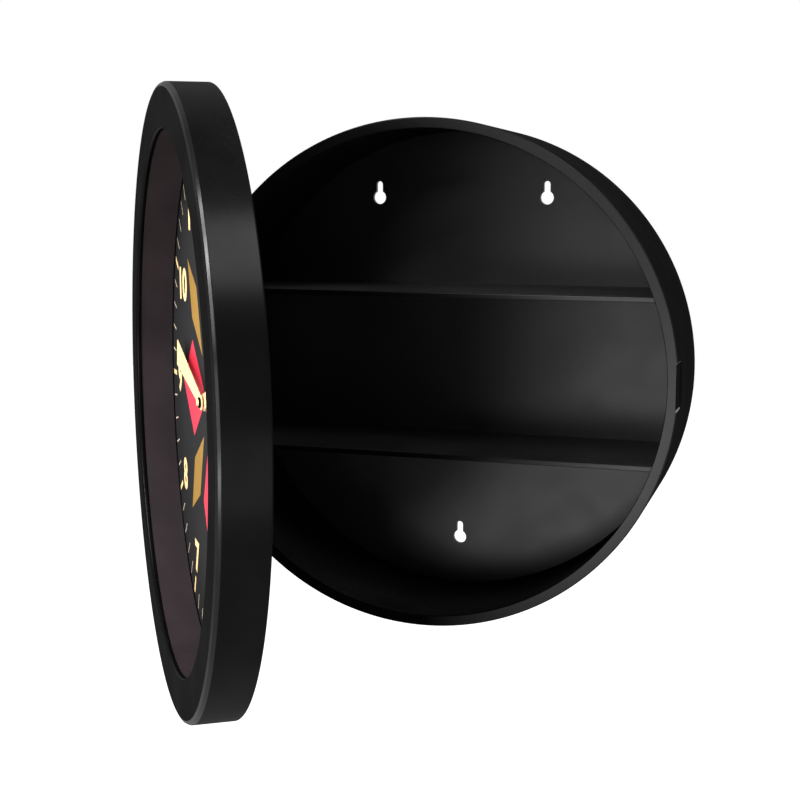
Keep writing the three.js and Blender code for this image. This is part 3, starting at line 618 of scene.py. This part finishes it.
def repeat_tree():
    """Sets a part out round the Y axis: so many, from a first angle, turned with the circle."""
    tree, given, out = geometry_tree(
        "set_out_in_circle",
        (("Part", "NodeSocketObject"), ("Count", "NodeSocketInt"), ("Each", "NodeSocketFloat"),
         ("First", "NodeSocketFloat"), ("Finish", "NodeSocketMaterial")),
    )
    part = node(tree, "GeometryNodeObjectInfo", {"Object": given.outputs["Part"]})
    places = node(
        tree, "GeometryNodeMeshLine", {"Count": given.outputs["Count"], "Offset": (0, 0, 0)}
    )
    index = node(tree, "GeometryNodeInputIndex").outputs["Index"]
    angle = maths(tree, "MULTIPLY", index, given.outputs["Each"])
    angle = maths(tree, "ADD", angle, given.outputs["First"])
    turn = node(tree, "ShaderNodeCombineXYZ", {"Y": angle})
    spins = node(
        tree,
        "GeometryNodeInstanceOnPoints",
        {"Points": places.outputs["Mesh"], "Instance": part.outputs["Geometry"],
         "Rotation": turn.outputs[0]},
    )
    return dressed_tree(tree, spins.outputs["Instances"], given, out)


lathe, repeat = lathe_tree(), repeat_tree()


def outward(mesh):
    """Turns a closed mesh's faces outwards."""
    mesh.calc_loop_triangles()
    corner = [v.co for v in mesh.vertices]
    volume = sum(
        corner[t.vertices[0]].dot(corner[t.vertices[1]].cross(corner[t.vertices[2]]))
        for t in mesh.loop_triangles
    )
    if volume < 0:
        mesh.flip_normals()
    return mesh


def turned(name, outline, finish, closed=True, steps=lathe_steps):
    """A lathe-turned form about Y. An outline that starts and ends on the axis isn't closed."""
    points = [(r * mm, y * mm, 0) for r, y in outline]
    edges = [(i, i + 1) for i in range(len(points) - 1)]
    if closed:
        edges.append((len(points) - 1, 0))
    made = through_tree(
        new_mesh(name, points, edges), lathe, {"Steps": steps, "Finish": finish}
    )
    return outward(made)


def set_out(name, part, count, each, first, finish):
    """Copies of a part's mesh round the Y axis, as one plain mesh."""
    bench = on_bench(part)
    made = through_tree(
        new_mesh(name, [(0, 0, 0)]),
        repeat,
        {"Part": bench, "Count": count, "Each": math.radians(each),
         "First": math.radians(first), "Finish": finish},
    )
    bpy.data.objects.remove(bench)
    return made


def block(name, low, high):
    """A box between two corners, in millimetres."""
    (x0, y0, z0), (x1, y1, z1) = low, high
    corners = [(x * mm, y * mm, z * mm) for x in (x0, x1) for y in (y0, y1) for z in (z0, z1)]
    faces = [(0, 1, 3, 2), (4, 6, 7, 5), (0, 4, 5, 1), (2, 3, 7, 6), (0, 2, 6, 4), (1, 5, 7, 3)]
    return outward(new_mesh(name, corners, faces=faces))


def plate(name, outlines, front, rear):
    """A flat form in X and Z, between two places on Y. Outlines after the first are its holes."""
    curve = bpy.data.curves.new(name, "CURVE")
    curve.dimensions = "2D"
    curve.fill_mode = "BOTH"
    curve.extrude = (rear - front) / 2 * mm
    for outline in outlines:
        spline = curve.splines.new("POLY")
        spline.points.add(len(outline) - 1)
        for point, (x, z) in zip(spline.points, outline):
            point.co = (x * mm, z * mm, 0, 1)
        spline.use_cyclic_u = True
    made = plain_result(on_bench(curve), name)
    return outward(welded(stood_up(made, front, rear)))


def stood_up(mesh, front, rear):
    """A flat form from the X and Y plane, turned up to lie between two places on Y."""
    mesh.transform(shifted(y=(front + rear) / 2) @ Matrix.Rotation(math.pi / 2, 4, "X"))
    return mesh


def welded(mesh):
    """A mesh with its shared corners joined, and with flat runs of faces joined into one."""
    work = bmesh.new()
    work.from_mesh(mesh)
    bmesh.ops.remove_doubles(work, verts=work.verts, dist=touching)
    bmesh.ops.dissolve_limit(
        work, angle_limit=flat_angle, verts=work.verts, edges=work.edges
    )
    work.to_mesh(mesh)
    work.free()
    mesh.update()
    return mesh


def shaped(mesh, kind, **settings):
    """A mesh with one modifier worked into it."""
    bench = on_bench(mesh)
    modifier = bench.modifiers.new(kind, kind)
    for name, value in settings.items():
        setattr(modifier, name, value)
    return plain_result(bench, mesh.name)


def softened(mesh, width, segments=3):
    """Rounds every sharp edge a little, as tools leave it."""
    return shaped(
        mesh, "BEVEL", width=width * mm, segments=segments, limit_method="ANGLE",
        angle_limit=bevel_angle, use_clamp_overlap=True,
    )


def worked(mesh, operation, *tools):
    """Cuts tools from a mesh, or joins them to it, or keeps what both hold."""
    for tool in tools:
        bench = on_bench(tool)
        mesh = shaped(mesh, "BOOLEAN", operation=operation, object=bench, solver="EXACT")
        bpy.data.objects.remove(bench)
    return mesh


def joined(name, *meshes):
    """Several meshes as one, which keeps each one's finish."""
    work = bmesh.new()
    finishes = []
    for mesh in meshes:
        before = len(work.faces)
        work.from_mesh(mesh)
        work.faces.ensure_lookup_table()
        for face in work.faces[before:]:
            finish = mesh.materials[face.material_index] if mesh.materials else None
            if finish not in finishes:
                finishes.append(finish)
            face.material_index = finishes.index(finish)
    made = bpy.data.meshes.new(name)
    work.to_mesh(made)
    work.free()
    for finish in finishes:
        made.materials.append(finish)
    return made


def arc_points(radius, start, sweep, steps, x=0.0, z=0.0):
    """Points along an arc, from a start angle through a sweep, both ends included."""
    angles = [start + sweep * i / steps for i in range(steps + 1)]
    return [(x + radius * math.cos(a), z + radius * math.sin(a)) for a in angles]


def round_points(radius, steps):
    """A full circle of points about the origin."""
    return arc_points(radius, 0, 2 * math.pi, steps)[:-1]


def bar(radius, front, rear, x=0.0, z=0.0):
    """A round bar along Y, used as a tool."""
    outline = [(0, front), (radius, front), (radius, rear), (0, rear)]
    made = turned("bar", outline, None, closed=False, steps=small_steps)
    made.transform(shifted(x=x, z=z))
    return made


def copy_of(node_name):
    """A CAD node's mesh, in the row frame, with its loose triangles joined."""
    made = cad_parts[node_name].data.copy()
    made.name = node_name
    made.materials.clear()
    return welded(made)


def paint(mesh, main, *others):
    """Gives a mesh its main finish. Each of the others is a finish with a rule, and goes where the
    rule holds for a face's centre, in millimetres, and its normal."""
    mesh.materials.clear()
    mesh.materials.append(main)
    for number, (finish, rule) in enumerate(others, 1):
        mesh.materials.append(finish)
        for face in mesh.polygons:
            if rule(face.center / mm, face.normal):
                face.material_index = number


def finished(name, mesh, place, body, replaced, finish=None):
    """Places a mesh, shades it, gives it its body, and hides the CAD nodes that it stands for.
    With no finish given, it keeps what it has."""
    mesh.transform(place)
    if finish is not None:
        mesh.materials.clear()
        mesh.materials.append(finish)
    mesh.polygons.foreach_set("use_smooth", [True] * len(mesh.polygons))
    mesh.set_sharp_from_angle(angle=smooth_angle)
    mesh = shaped(mesh, "WEIGHTED_NORMAL", keep_sharp=True, weight=100)
    mesh.name = name
    piece = bpy.data.objects.new(name, mesh)
    bpy.context.scene.collection.objects.link(piece)
    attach(piece, body)
    if replaced:
        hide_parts(*replaced)
    return piece


# Case


def shelf_slot(middle):
    """The tapered slot that a shelf slides in from the rear."""
    def reach(y):
        inner = bore_rear_radius + (bore_front_radius - bore_rear_radius) * y / rim_rear
        return (math.sqrt(inner ** 2 - middle ** 2) + shelf_slot_depth) * mm

    low, high = (middle - shelf_slot_half) * mm, (middle + shelf_slot_half) * mm
    sides = ((-1, rim_rear), (1, rim_rear), (1, overrun), (-1, overrun))
    corners = [(side * reach(y), y * mm, z) for z in (low, high) for side, y in sides]
    faces = [(0, 1, 2, 3), (4, 7, 6, 5), (0, 4, 5, 1), (1, 5, 6, 2), (2, 6, 7, 3), (3, 7, 4, 0)]
    return outward(new_mesh("slot", corners, faces=faces))


def drum():
    """The shell with its lip, panel seat, shelf slots, hinge bores and finger recess."""
    shell = turned("drum", filleted(
        (rim_inner_radius, -drum_depth, 0.5), (drum_radius, -drum_depth, 0.7),
        (drum_rear_radius, 0, 1.0), (panel_seat_radius, 0, 0.2),
        (panel_seat_radius, -panel_seat_depth, 0), (bore_rear_radius, -panel_seat_depth, 0.3),
        (bore_front_radius, rim_rear, 0.3), (rim_inner_radius, rim_rear, 0.6),
    ), drum_plastic)
    recess = softened(block(
        "recess", (recess_radius, -drum_depth - overrun, -recess_half_height),
        (drum_radius + 2 * overrun, recess_rear, recess_half_height),
    ), 0.9, 2)
    bores = []
    for z in (-case_screw_height, case_screw_height):
        bore = bar(case_bore_radius, case_bore_outer_end, case_bore_inner_end)
        bore.transform(shifted(y=case_leaf_y, z=z) @ Matrix.Rotation(-math.pi / 2, 4, "Z"))
        bores.append(bore)
    slots = [shelf_slot(middle) for middle in shelf_heights]
    shell = worked(shell, "DIFFERENCE", recess, *slots, *bores)
    lip = 0.8 - drum_depth

    def recess_end(middle, normal):
        near = abs(abs(middle.z) - recess_half_height) < 2.5
        return middle.y < 1 + recess_rear and middle.x > 166 and near and abs(normal.z) > 0.35

    # The lip's front is painted with shade on the hinge side and the foot and with a sheen toward
    # 3 o'clock; the finger recess's end faces are painted pale as highlights.
    paint(
        shell, drum_plastic,
        (rim_plastic, lambda middle, normal: middle.y < lip), (worn_plastic, recess_end),
    )
    finished("drum", shell, at_wall, "case", ["drum_shell"])


def keyhole(x, z):
    """A round head about its place, with a slot that rises from it."""
    head, slot = keyhole_head_radius, keyhole_slot_radius
    side = math.asin(slot / head)
    top = keyhole_height - head - slot
    return (
        arc_points(head, math.pi / 2 + side, 2 * math.pi - 2 * side, 40, x, z)
        + arc_points(slot, 0, math.pi, 16, x, z + top)
    )


def wall_panel():
    """The disc in the drum's rear seat, with its keyholes."""
    outlines = [round_points(panel_radius, 240)] + [keyhole(x, z) for x, z in keyhole_places]
    disc = softened(plate("wall_panel", outlines, -panel_thickness, 0), 0.35, 2)
    finished("wall_panel", disc, at_wall, "case", ["back_panel"], black_sheet)


def shelves():
    for name in ("upper_shelf", "lower_shelf"):
        board = softened(copy_of(name), 0.7, 4)
        # The front edges are painted with shade toward the hinge side and the foot and with a
        # sheen toward 3 o'clock.
        paint(board, black_sheet, (shelf_edge, lambda middle, normal: normal.y < -0.2))
        finished(name.replace("_", "_compartment_"), board, at_wall, "case", [name])


def softened_copies(body, *rows):
    """CAD pieces with softened edges, each from its name, node, rounding, slot and finish. The
    slot is not used.
    """
    for name, node_name, width, slot, finish in rows:
        copy = softened(copy_of(node_name), width)
        finished(name, copy, at_wall, body, [node_name], finish)


def case_fittings():
    softened_copies(
        "case",
        ("saddle_block", "hinge_saddle", 0.8, "black_plastic", drum_plastic),
        ("case_leaf", "case_hinge_leaf", 0.25, "zinc_steel", zinc_steel),
        ("pin", "hinge_pin", 0.35, "zinc_steel", zinc_steel),
        ("case_nut_upper", "case_hinge_nut_upper", 0.35, "zinc_steel", zinc_steel),
        ("case_nut_lower", "case_hinge_nut_lower", 0.35, "zinc_steel", zinc_steel),
        ("magnet_bar", "catch_magnet", 0.3, "magnet", magnet),
    )


# Door


def on_circle(radius, degrees):
    """A place of [across, up] on a circle round the dial's axis."""
    a = math.radians(degrees)
    return radius * math.cos(a), radius * math.sin(a)


cover_screw_places = [on_circle(screw_circle, 30 + 60 * i) for i in range(screw_count)]
leaf_screw_places = [(leaf_screw_across, side * leaf_screw_height) for side in (1, -1)]
bumper_places = [on_circle(bumper_circle, degrees) for degrees in bumper_turns]


def bars(radius, front, rear, places):
    """The same bar at several places."""
    return [bar(radius, front, rear, x, z) for x, z in places]


def bezel():
    """The hollow ring with its screw bosses."""
    ring = turned("bezel", filleted(
        (opening_radius, 0, 2.0), (door_radius - 2.7, 0, 1.2), (door_radius - 1.0, 0.8, 0.9),
        (door_radius, 2.55, 1.2), (door_radius, door_depth, 1.0),
        (bezel_bore_radius, door_depth, 0.3), (bezel_bore_radius, bezel_thickness, 0.6),
        (rib_outer_radius, bezel_thickness, 0.3), (rib_outer_radius, rib_depth, 0.2),
        (rib_inner_radius, rib_depth, 0.2), (rib_inner_radius, well_seat, 0.1),
        (opening_radius, well_seat, 0.35), steps=8,
    ), black_plastic)
    screw_places = cover_screw_places + leaf_screw_places
    bosses = bars(boss_radius, boss_front, inside_rear, screw_places)
    bores = bars(screw_hole_radius, screw_hole_front, door_depth + 1, screw_places)
    ring = worked(ring, "UNION", joined("bosses", *bosses))
    ring = worked(ring, "DIFFERENCE", joined("bores", *bores))

    def outer_edge(middle, normal):
        outer = math.hypot(middle.x, middle.z) > door_radius - 4.4
        return 0.05 < middle.y < 4 and outer and normal.y < -0.1

    paint(
        ring, black_plastic,
        (face_plastic, lambda middle, normal: middle.y < 0.3), (edge_plastic, outer_edge),
    )
    finished("bezel", ring, at_door, "door", ["bezel_frame"])


def well_lining():
    """The smoked-black ring between the bezel and the dial."""
    lining = turned("well_lining", filleted(
        (well_front_radius, well_front, 0.2), (well_outer_radius, well_front, 0.2),
        (well_outer_radius, inside_rear, 0.2), (well_rear_radius, inside_rear, 0.2),
    ), well_plastic)
    finished("well_lining", lining, at_door, "door", ["well_ring"], well_plastic)


def door_cover():
    """The stepped pan that closes the bezel, with a raised pad on the hinge side."""
    pan = turned("door_cover", filleted(
        (0, pan_front, 0), (pan_radius, pan_front, 0.2), (pan_radius, cover_front, 0.2),
        (cover_radius, cover_front, 0.3), (cover_radius, door_depth, 0.4),
        (well_outer_radius, door_depth, 0.4), (well_outer_radius, pan_rear, 0.5),
        (0, pan_rear, 0),
    ), black_plastic, closed=False)
    pad = turned("pad", filleted(
        (pad_radius, pad_front, 0), (cover_radius, pad_front, 0), (cover_radius, pad_rear, 0.3),
        (pad_radius, pad_rear, 0.3),
    ), black_plastic)
    half = block(
        "half", (-door_radius - overrun, cut_front, -pad_half_height),
        (0, cut_rear, pad_half_height),
    )
    sinks = []
    for x, z in cover_screw_places:
        sink = turned("sink", [
            (0, cut_front), (screw_hole_radius, cut_front), (screw_hole_radius, sink_front),
            (sink_radius, sink_rear), (sink_radius, cut_rear), (0, cut_rear),
        ], None, closed=False, steps=small_steps)
        sink.transform(shifted(x=x, z=z))
        sinks.append(sink)
    pan = worked(pan, "UNION", worked(pad, "INTERSECT", half))
    pan = worked(pan, "DIFFERENCE", joined(
        "cuts", *sinks,
        *bars(screw_hole_radius, cut_front, cut_rear, leaf_screw_places),
        *bars(bumper_hole_radius, pad_front, cut_rear, bumper_places),
        block(
            "pocket", (strike_inner_radius, pad_front, -strike_half_height),
            (strike_outer_radius, cut_rear, strike_half_height),
        ),
        *bars(dial_hole, cut_front, cut_rear, [(0, 0)]),
    ))
    finished(
        "door_cover", pan, at_door, "door", ["door_back_cover"], black_plastic
    )


def door_fittings():
    softened_copies(
        "door",
        ("door_leaf", "door_hinge_leaf", 0.25, "zinc_steel", zinc_steel),
        ("strike_plate", "catch_strike", 0.15, "zinc_steel", zinc_steel),
        ("washer", "movement_washer", 0.15, "rubber", rubber),
        ("movement_front", "movement_front_case", 0.4, "movement_plastic", movement_plastic),
        ("bushing", "threaded_bushing", 0.15, "brass", brass),
        ("dial_nut", "bushing_nut", 0.3, "brass", brass),
    )


def dial():
    """The printed plate, which the cover carries."""
    face = turned("dial", filleted(
        (dial_hole, dial_front, 0.1), (dial_radius, dial_front, 0.1),
        (dial_radius, dial_rear, 0.1), (dial_hole, dial_rear, 0.1), steps=2,
    ), dial_print)
    finished("dial", face, at_door, "door", ["dial_plate"], dial_print)


def ticks():
    """The minute and hour strokes, standing a little over the dial."""
    parts = []
    for name, inner, width, count, lift, finish in (
        ("minute_ticks", 143.0, 1.0, 60, 0.07, tick_gold),
        ("hour_ticks", 142.0, 3.0, 12, 0.09, cream_gold),
    ):
        low = (-width / 2, dial_front - lift, inner)
        mark = block(name, low, (width / 2, dial_front + print_sink, tick_outer_radius))
        parts.append(set_out(name, mark, count, 360 / count, 0, finish))
    finished("dial_ticks", joined("dial_ticks", *parts), at_door, "door", [])


def printed_number(number, bold, stretch, front, rear):
    """A number as a solid mesh, centred, between two places on Y."""
    curve = bpy.data.curves.new("number", "FONT")
    curve.body = str(number)
    curve.size = numeral_size * mm
    curve.offset = bold * mm
    curve.extrude = (rear - front) / 2 * mm
    curve.align_x = "CENTER"
    curve.align_y = "CENTER"
    curve.resolution_u = 6
    made = plain_result(on_bench(curve), "number")
    xs = [v.co.x for v in made.vertices]
    ys = [v.co.y for v in made.vertices]
    made.transform(Matrix.Translation((-(min(xs) + max(xs)) / 2, -(min(ys) + max(ys)) / 2, 0)))
    made.transform(Matrix.Diagonal((stretch, 1, 1, 1)))
    return stood_up(made, front, rear)


def numerals():
    """The hours in cream gold, each on a wider dark number that shows as its outline."""
    faces, edges = [], []
    for hour in range(1, 13):
        x, z = on_circle(numeral_circle, 90 - 30 * hour)
        # The wide numbers on the left stand nearer to the upright, and are stretched more
        if hour in (10, 11):
            x += 3.5 * (12 - hour)
        stretch = 1.35 if hour > 9 else 1.15
        for made, bold, front, rear in (
            (edges, 2.0, dial_front - film, dial_front + print_sink),
            (faces, 1.0, dial_front - numeral_lift, dial_front - print_sink),
        ):
            number = printed_number(hour, bold, stretch, front, rear)
            number.transform(shifted(x=x, z=z))
            made.append(number)
    finished(
        "numeral_outlines", joined("numeral_outlines", *edges), at_door, "door", [],
        outline_ink,
    )
    finished("numerals", joined("numerals", *faces), at_door, "door", [], cream_gold)


def rose():
    """A plain rose of eight points, printed round the dial's middle."""
    for name, outline, first, finish in (
        ("crimson_points", [(0, 107), (30, 64), (0, 14), (-30, 64)], 0, crimson),
        ("gold_points", [(0, 112), (14, 76), (0, 34), (-14, 76)], 45, old_gold),
    ):
        point = plate("point", [outline], dial_front - film, dial_front + print_sink)
        points = set_out(name, point, 4, 90, first, finish)
        finished(name, points, at_door, "door", [])


# Movement, and what screws and stops the door


def movement_rear():
    """The movement's rear case, with a raised plus and minus for the cell's poles."""
    shell = softened(copy_of("movement_rear_case"), 0.7)
    shell.transform(at_door.inverted())
    rear, lift, half_width, reach, out, height = 46.2, 0.3, 0.4, 2.0, 21.5, 2.0
    marks = [
        block("mark", (x - dx, rear - lift, height - dz), (x + dx, rear + lift, height + dz))
        for x, dx, dz in (
            (out, reach, half_width), (out, half_width, reach), (-out, reach, half_width),
        )
    ]
    shell = joined("movement_rear", shell, *marks)
    finished(
        "movement_rear", shell, at_door, "door", ["movement_rear_case"],
        movement_plastic,
    )


def battery():
    """A round cell that lies across, its plus end toward 3 o'clock."""
    outline = filleted(
        (0, -25.1, 0), (5.6, -25.1, 0.3), (5.9, -24.6, 0.2), (7.25, -24.4, 0.6), (7.25, 23.8, 0.6),
        (6.4, 24.1, 0.2), (2.7, 24.1, 0.2), (2.7, 25.1, 0.4), (0, 25.1, 0),
    )
    cell = turned("battery", outline, wrapper, closed=False, steps=fine_steps)

    def metal_end(middle, normal):
        return math.hypot(middle.x, middle.z) < 6.3 or middle.y > 24.0 or middle.y < -24.5

    paint(
        cell, wrapper,
        (wrapper_band, lambda middle, normal: middle.y > 10), (zinc_steel, metal_end),
    )
    place = at_door @ shifted(y=38.65, z=-18.85) @ Matrix.Rotation(-math.pi / 2, 4, "Z")
    finished("battery", cell, place, "door", ["battery_cell"])


def cross_cut(mesh, rear, reach, depth):
    """Cuts a cross recess in a screw's head, whose rear face is at a place on Y."""
    half = 0.34
    flat, upright = (
        block("arm", (-x, rear - depth, -z), (x, rear + 1, z))
        for x, z in ((reach, half), (half, reach))
    )
    return worked(mesh, "DIFFERENCE", worked(flat, "UNION", upright))


def cover_screws():
    """Countersunk screws round the cover, one to each boss."""
    one = turned("screw", filleted(
        (0, 14.0, 0), (0.3, 14.0, 0), (1.45, 15.6, 0.2), (1.45, sink_front, 0.1),
        (2.8, 26.45, 0.15), (2.6, sink_rear, 0.1), (0, sink_rear, 0), steps=3,
    ), zinc_steel, closed=False, steps=small_steps)
    one = cross_cut(one, sink_rear, reach=1.7, depth=0.9)
    one.transform(shifted(x=screw_circle))
    ring = set_out("cover_screws", one, screw_count, 60, 30, zinc_steel)
    finished(
        "cover_screws", ring, at_door, "door",
        [f"back_cover_screw_{i + 1}" for i in range(screw_count)], zinc_steel,
    )


def domed_screw(seat, length, shank, head, height):
    """A screw with a domed head that stands on a seat, along +Y. Shank and head are radii."""
    made = turned("screw", filleted(
        (0, seat - length, 0), (0.4, seat - length, 0), (shank, seat - length + 1.4, 0.2),
        (shank, seat, 0), (head, seat, 0.15), (head, seat + height * 0.45, 0.4),
        (head * 0.72, seat + height, 0.6), (0, seat + height, 0), steps=4,
    ), zinc_steel, closed=False, steps=screw_steps)
    return cross_cut(made, seat + height, reach=head * 0.55, depth=height * 0.6)


def hinge_screw(screw, move, place, body, side):
    """Moves one screw to its hole and hands it to the body that it fastens to."""
    screw.transform(move)
    finished(
        f"{body}_leaf_screw_{side}", screw, place, body,
        [f"{body}_hinge_screw_{side}"], zinc_steel,
    )


def hinge_screws():
    """Two from behind into the bezel's bosses, and two from the hinge side into the drum."""
    for (x, z), side in zip(leaf_screw_places, ("upper", "lower")):
        screw = domed_screw(seat=30.0, length=16.0, shank=1.45, head=3.1, height=1.8)
        hinge_screw(screw, shifted(x=x, z=z), at_door, "door", side)
    turn = Matrix.Rotation(math.pi / 2, 4, "Z")
    for z, side in ((case_screw_height, "upper"), (-case_screw_height, "lower")):
        screw = domed_screw(seat=174.2, length=15.23, shank=1.9, head=3.6, height=2.0)
        hinge_screw(screw, shifted(y=case_leaf_y, z=z) @ turn, at_wall, "case", side)


def bumpers():
    """Rubber stops in the cover's rear, which meet the drum's lip."""
    front, rear = 26.3, 27.8
    pads = []
    for x, z in bumper_places:
        pad = turned("pad", filleted(
            (0, front, 0), (bumper_radius, front, 0.2), (bumper_radius, rear, 0.6), (0, rear, 0),
        ), rubber, closed=False, steps=screw_steps)
        pad.transform(shifted(x=x, z=z))
        pads.append(pad)
    finished(
        "bumpers", joined("bumpers", *pads), at_door, "door",
        [f"bumper_{i + 1}" for i in range(len(pads))], rubber,
    )


# Hands and knob


def hand_blade(name, length, root, tip, hub, front, bore, window=None):
    """A baton with a round hub, pointing up. Root and tip are widths, hub and bore radii."""
    thickness, steps = 0.6, 32
    side = math.asin(root / 2 / hub)
    outline = [(-tip / 2, length), (tip / 2, length)]
    outline += arc_points(hub, math.pi / 2 - side, 2 * side - 2 * math.pi, steps)
    outlines = [outline, round_points(bore, steps)] + ([window] if window else [])
    return softened(plate(name, outlines, front, front + thickness), 0.14, 2)


def hands():
    """The two hands as photographed, and the cap over their hubs."""
    minute = hand_blade(
        "minute_hand", length=100, root=7.2, tip=16.6, hub=4.6, front=20.1, bore=1.9
    )
    finished(
        "minute_pointer", minute, on_axis(minute_turn), "minute_works",
        ["minute_hand"], hand_gold,
    )
    hour = hand_blade(
        "hour_hand", length=68, root=9, tip=9, hub=5.2, front=21.8, bore=2.85,
        window=[(-2.5, 8.5), (2.5, 8.5), (2.5, 66), (-2.5, 66)],
    )
    finished(
        "hour_pointer", hour, on_axis(hour_turn), "hour_works", ["hour_hand"],
        hand_gold,
    )
    cap = turned("hub_cap", filleted(
        (0, 17.8, 0), (2.0, 17.8, 0.7), (2.0, 18.8, 0), (3.1, 18.8, 0.3), (3.1, 19.8, 0.15),
        (1.9, 19.8, 0.1), (1.9, 19.2, 0), (0, 19.2, 0),
    ), black_plastic, closed=False, steps=fine_steps)
    paint(cap, black_plastic, (hand_gold, lambda middle, normal: middle.y < 18.79))
    finished("hub_dome", cap, at_door, "minute_works", ["hub_cap"])


def knob():
    softened_copies(
        "setting_works", ("setting_knob", "set_knob", 0.25, "movement_plastic", movement_plastic)
    )


def dress_nodes():
    """The CAD nodes that stay, each with its finish."""
    for names, finish in (
        (("circuit_board",), circuit_board),
        (("drive_coil",), copper_wire),
        (("battery_contact_positive", "battery_contact_negative", "minute_shaft"), zinc_steel),
        (("minute_wheel", "hour_wheel"), movement_plastic),
    ):
        for name in names:
            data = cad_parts[name].data
            data.materials.clear()
            data.materials.append(finish)


# Studio


def seen_plainly(tree):
    """1 for the eye, mirrors and glass, which see a pale surface as white. 0 for its light."""
    path = node(tree, "ShaderNodeLightPath").outputs
    seen = maths(tree, "MAXIMUM", path["Is Camera Ray"], path["Is Glossy Ray"])
    return maths(tree, "MAXIMUM", seen, path["Is Transmission Ray"])


def studio():
    """White surroundings and the lamps, each with its place, aim, width, height, roll in degrees
    and power. The strips are mirrored in the bezel's outer edge."""
    scene = bpy.context.scene
    scene.view_settings.view_transform = "Standard"
    world = bpy.data.worlds.new("studio")
    scene.world = world
    world.use_nodes = True
    tree = world.node_tree
    tree.nodes.clear()
    strength = spread(tree, seen_plainly(tree), 0.0, 1.0, 0.35, 1.0)
    light = node(tree, "ShaderNodeBackground", {"Color": (1, 1, 1, 1), "Strength": strength})
    node(tree, "ShaderNodeOutputWorld", {"Surface": light.outputs[0]})

    for name, at, toward, width, height, roll, power in (
        ("overhead", (0.53, -0.77, 1.16), (0, -0.38, 0.09), 0.6, 0.6, 0, 21),
        ("left_strip", (-0.84, -1.6, 1.42), (0, -0.35, 0.1), 0.25, 0.8, 0, 50),
        ("long_strip", (-0.84, -1.6, 1.42), (0, -0.35, 0.1), 0.12, 2.0, 0, 16),
        ("high_strip", (-0.96, -1.11, 1.68), (0, -0.35, 0.1), 0.25, 0.6, 0, 20),
        ("side_strip", (-0.72, -2.02, 0.99), (-0.02, -0.42, 0.03), 0.2, 0.6, 0, 9),
        ("front_strip", (-0.69, -2.56, -0.23), (-0.02, -0.42, 0), 0.15, 1.8, 0, 12),
        ("front_fill", (-0.3, -2.6, -0.54), (0.05, 0, -0.05), 0.95, 0.45, 35, 24),
        ("upper_fill", (-0.2, -2.6, 0.2), (0.1, 0, 0.05), 0.5, 0.5, 0, 4),
        ("low_fill", (1.1, -1.45, -0.45), (0, -0.38, 0), 0.8, 0.8, 0, 6),
    ):
        lamp = bpy.data.lights.new(name, "AREA")
        lamp.shape = "RECTANGLE"
        lamp.size, lamp.size_y = width, height
        lamp.energy = power
        stand = bpy.data.objects.new(name, lamp)
        stand.location = at
        aim = (Vector(toward) - Vector(at)).to_track_quat("-Z", "Y").to_matrix()
        stand.rotation_euler = (aim @ Matrix.Rotation(math.radians(roll), 3, "Z")).to_euler()
        scene.collection.objects.link(stand)


def floor():
    """A pale floor below the object, white to the eye, which keeps the object's shadow."""
    half, level = 8.0, -1.1
    sides = ((-1, -1), (1, -1), (1, 1), (-1, 1))
    corners = [(x * half, y * half, level) for x, y in sides]
    ground = bpy.data.objects.new("floor", new_mesh("floor", corners, faces=[(0, 1, 2, 3)]))
    bpy.context.scene.collection.objects.link(ground)
    made, tree, shader = bare_material("pale_floor")
    place = object_place(tree)
    grain = spread(tree, noise(tree, place, 3.0, detail=4.0), 0.3, 0.7)
    away = node(
        tree, "ShaderNodeVectorMath", {0: place, 1: (0.0, 0.0, level)}, operation="DISTANCE"
    ).outputs["Value"]
    glow = maths(tree, "MULTIPLY", seen_plainly(tree), spread(tree, away, 0.4, 2.6, 0.3, 0.8))
    feed(tree, shader, {
        "Base Color": blended(tree, grain, grey(226), grey(232)),
        "Roughness": 0.9,
        "Specular IOR Level": 0.0,
        "Emission Color": (1, 1, 1, 1),
        "Emission Strength": glow,
    })
    ground.data.materials.append(made)


def camera():
    """The photograph's own viewpoint, with its stand in millimetres."""
    data = bpy.data.cameras.new("camera")
    data.sensor_fit = "HORIZONTAL"
    data.sensor_width = 36
    data.lens = 65.02
    data.clip_start, data.clip_end = 0.01, 100
    made = bpy.data.objects.new("camera", data)
    forward = Vector((-0.30997, 0.93981, -0.14375))
    right = Vector((0.94968, 0.31322, 0))
    stand = (282.1, -998.1, 121.6)
    made.matrix_world = placed(right, right.cross(forward), -forward, stand)
    bpy.context.scene.collection.objects.link(made)
    bpy.context.scene.camera = made


camera()
studio()
floor()
drum()
wall_panel()
shelves()
case_fittings()
bezel()
well_lining()
door_cover()
door_fittings()
dial()
ticks()
numerals()
rose()
movement_rear()
battery()
cover_screws()
hinge_screws()
bumpers()
hands()
knob()
dress_nodes()
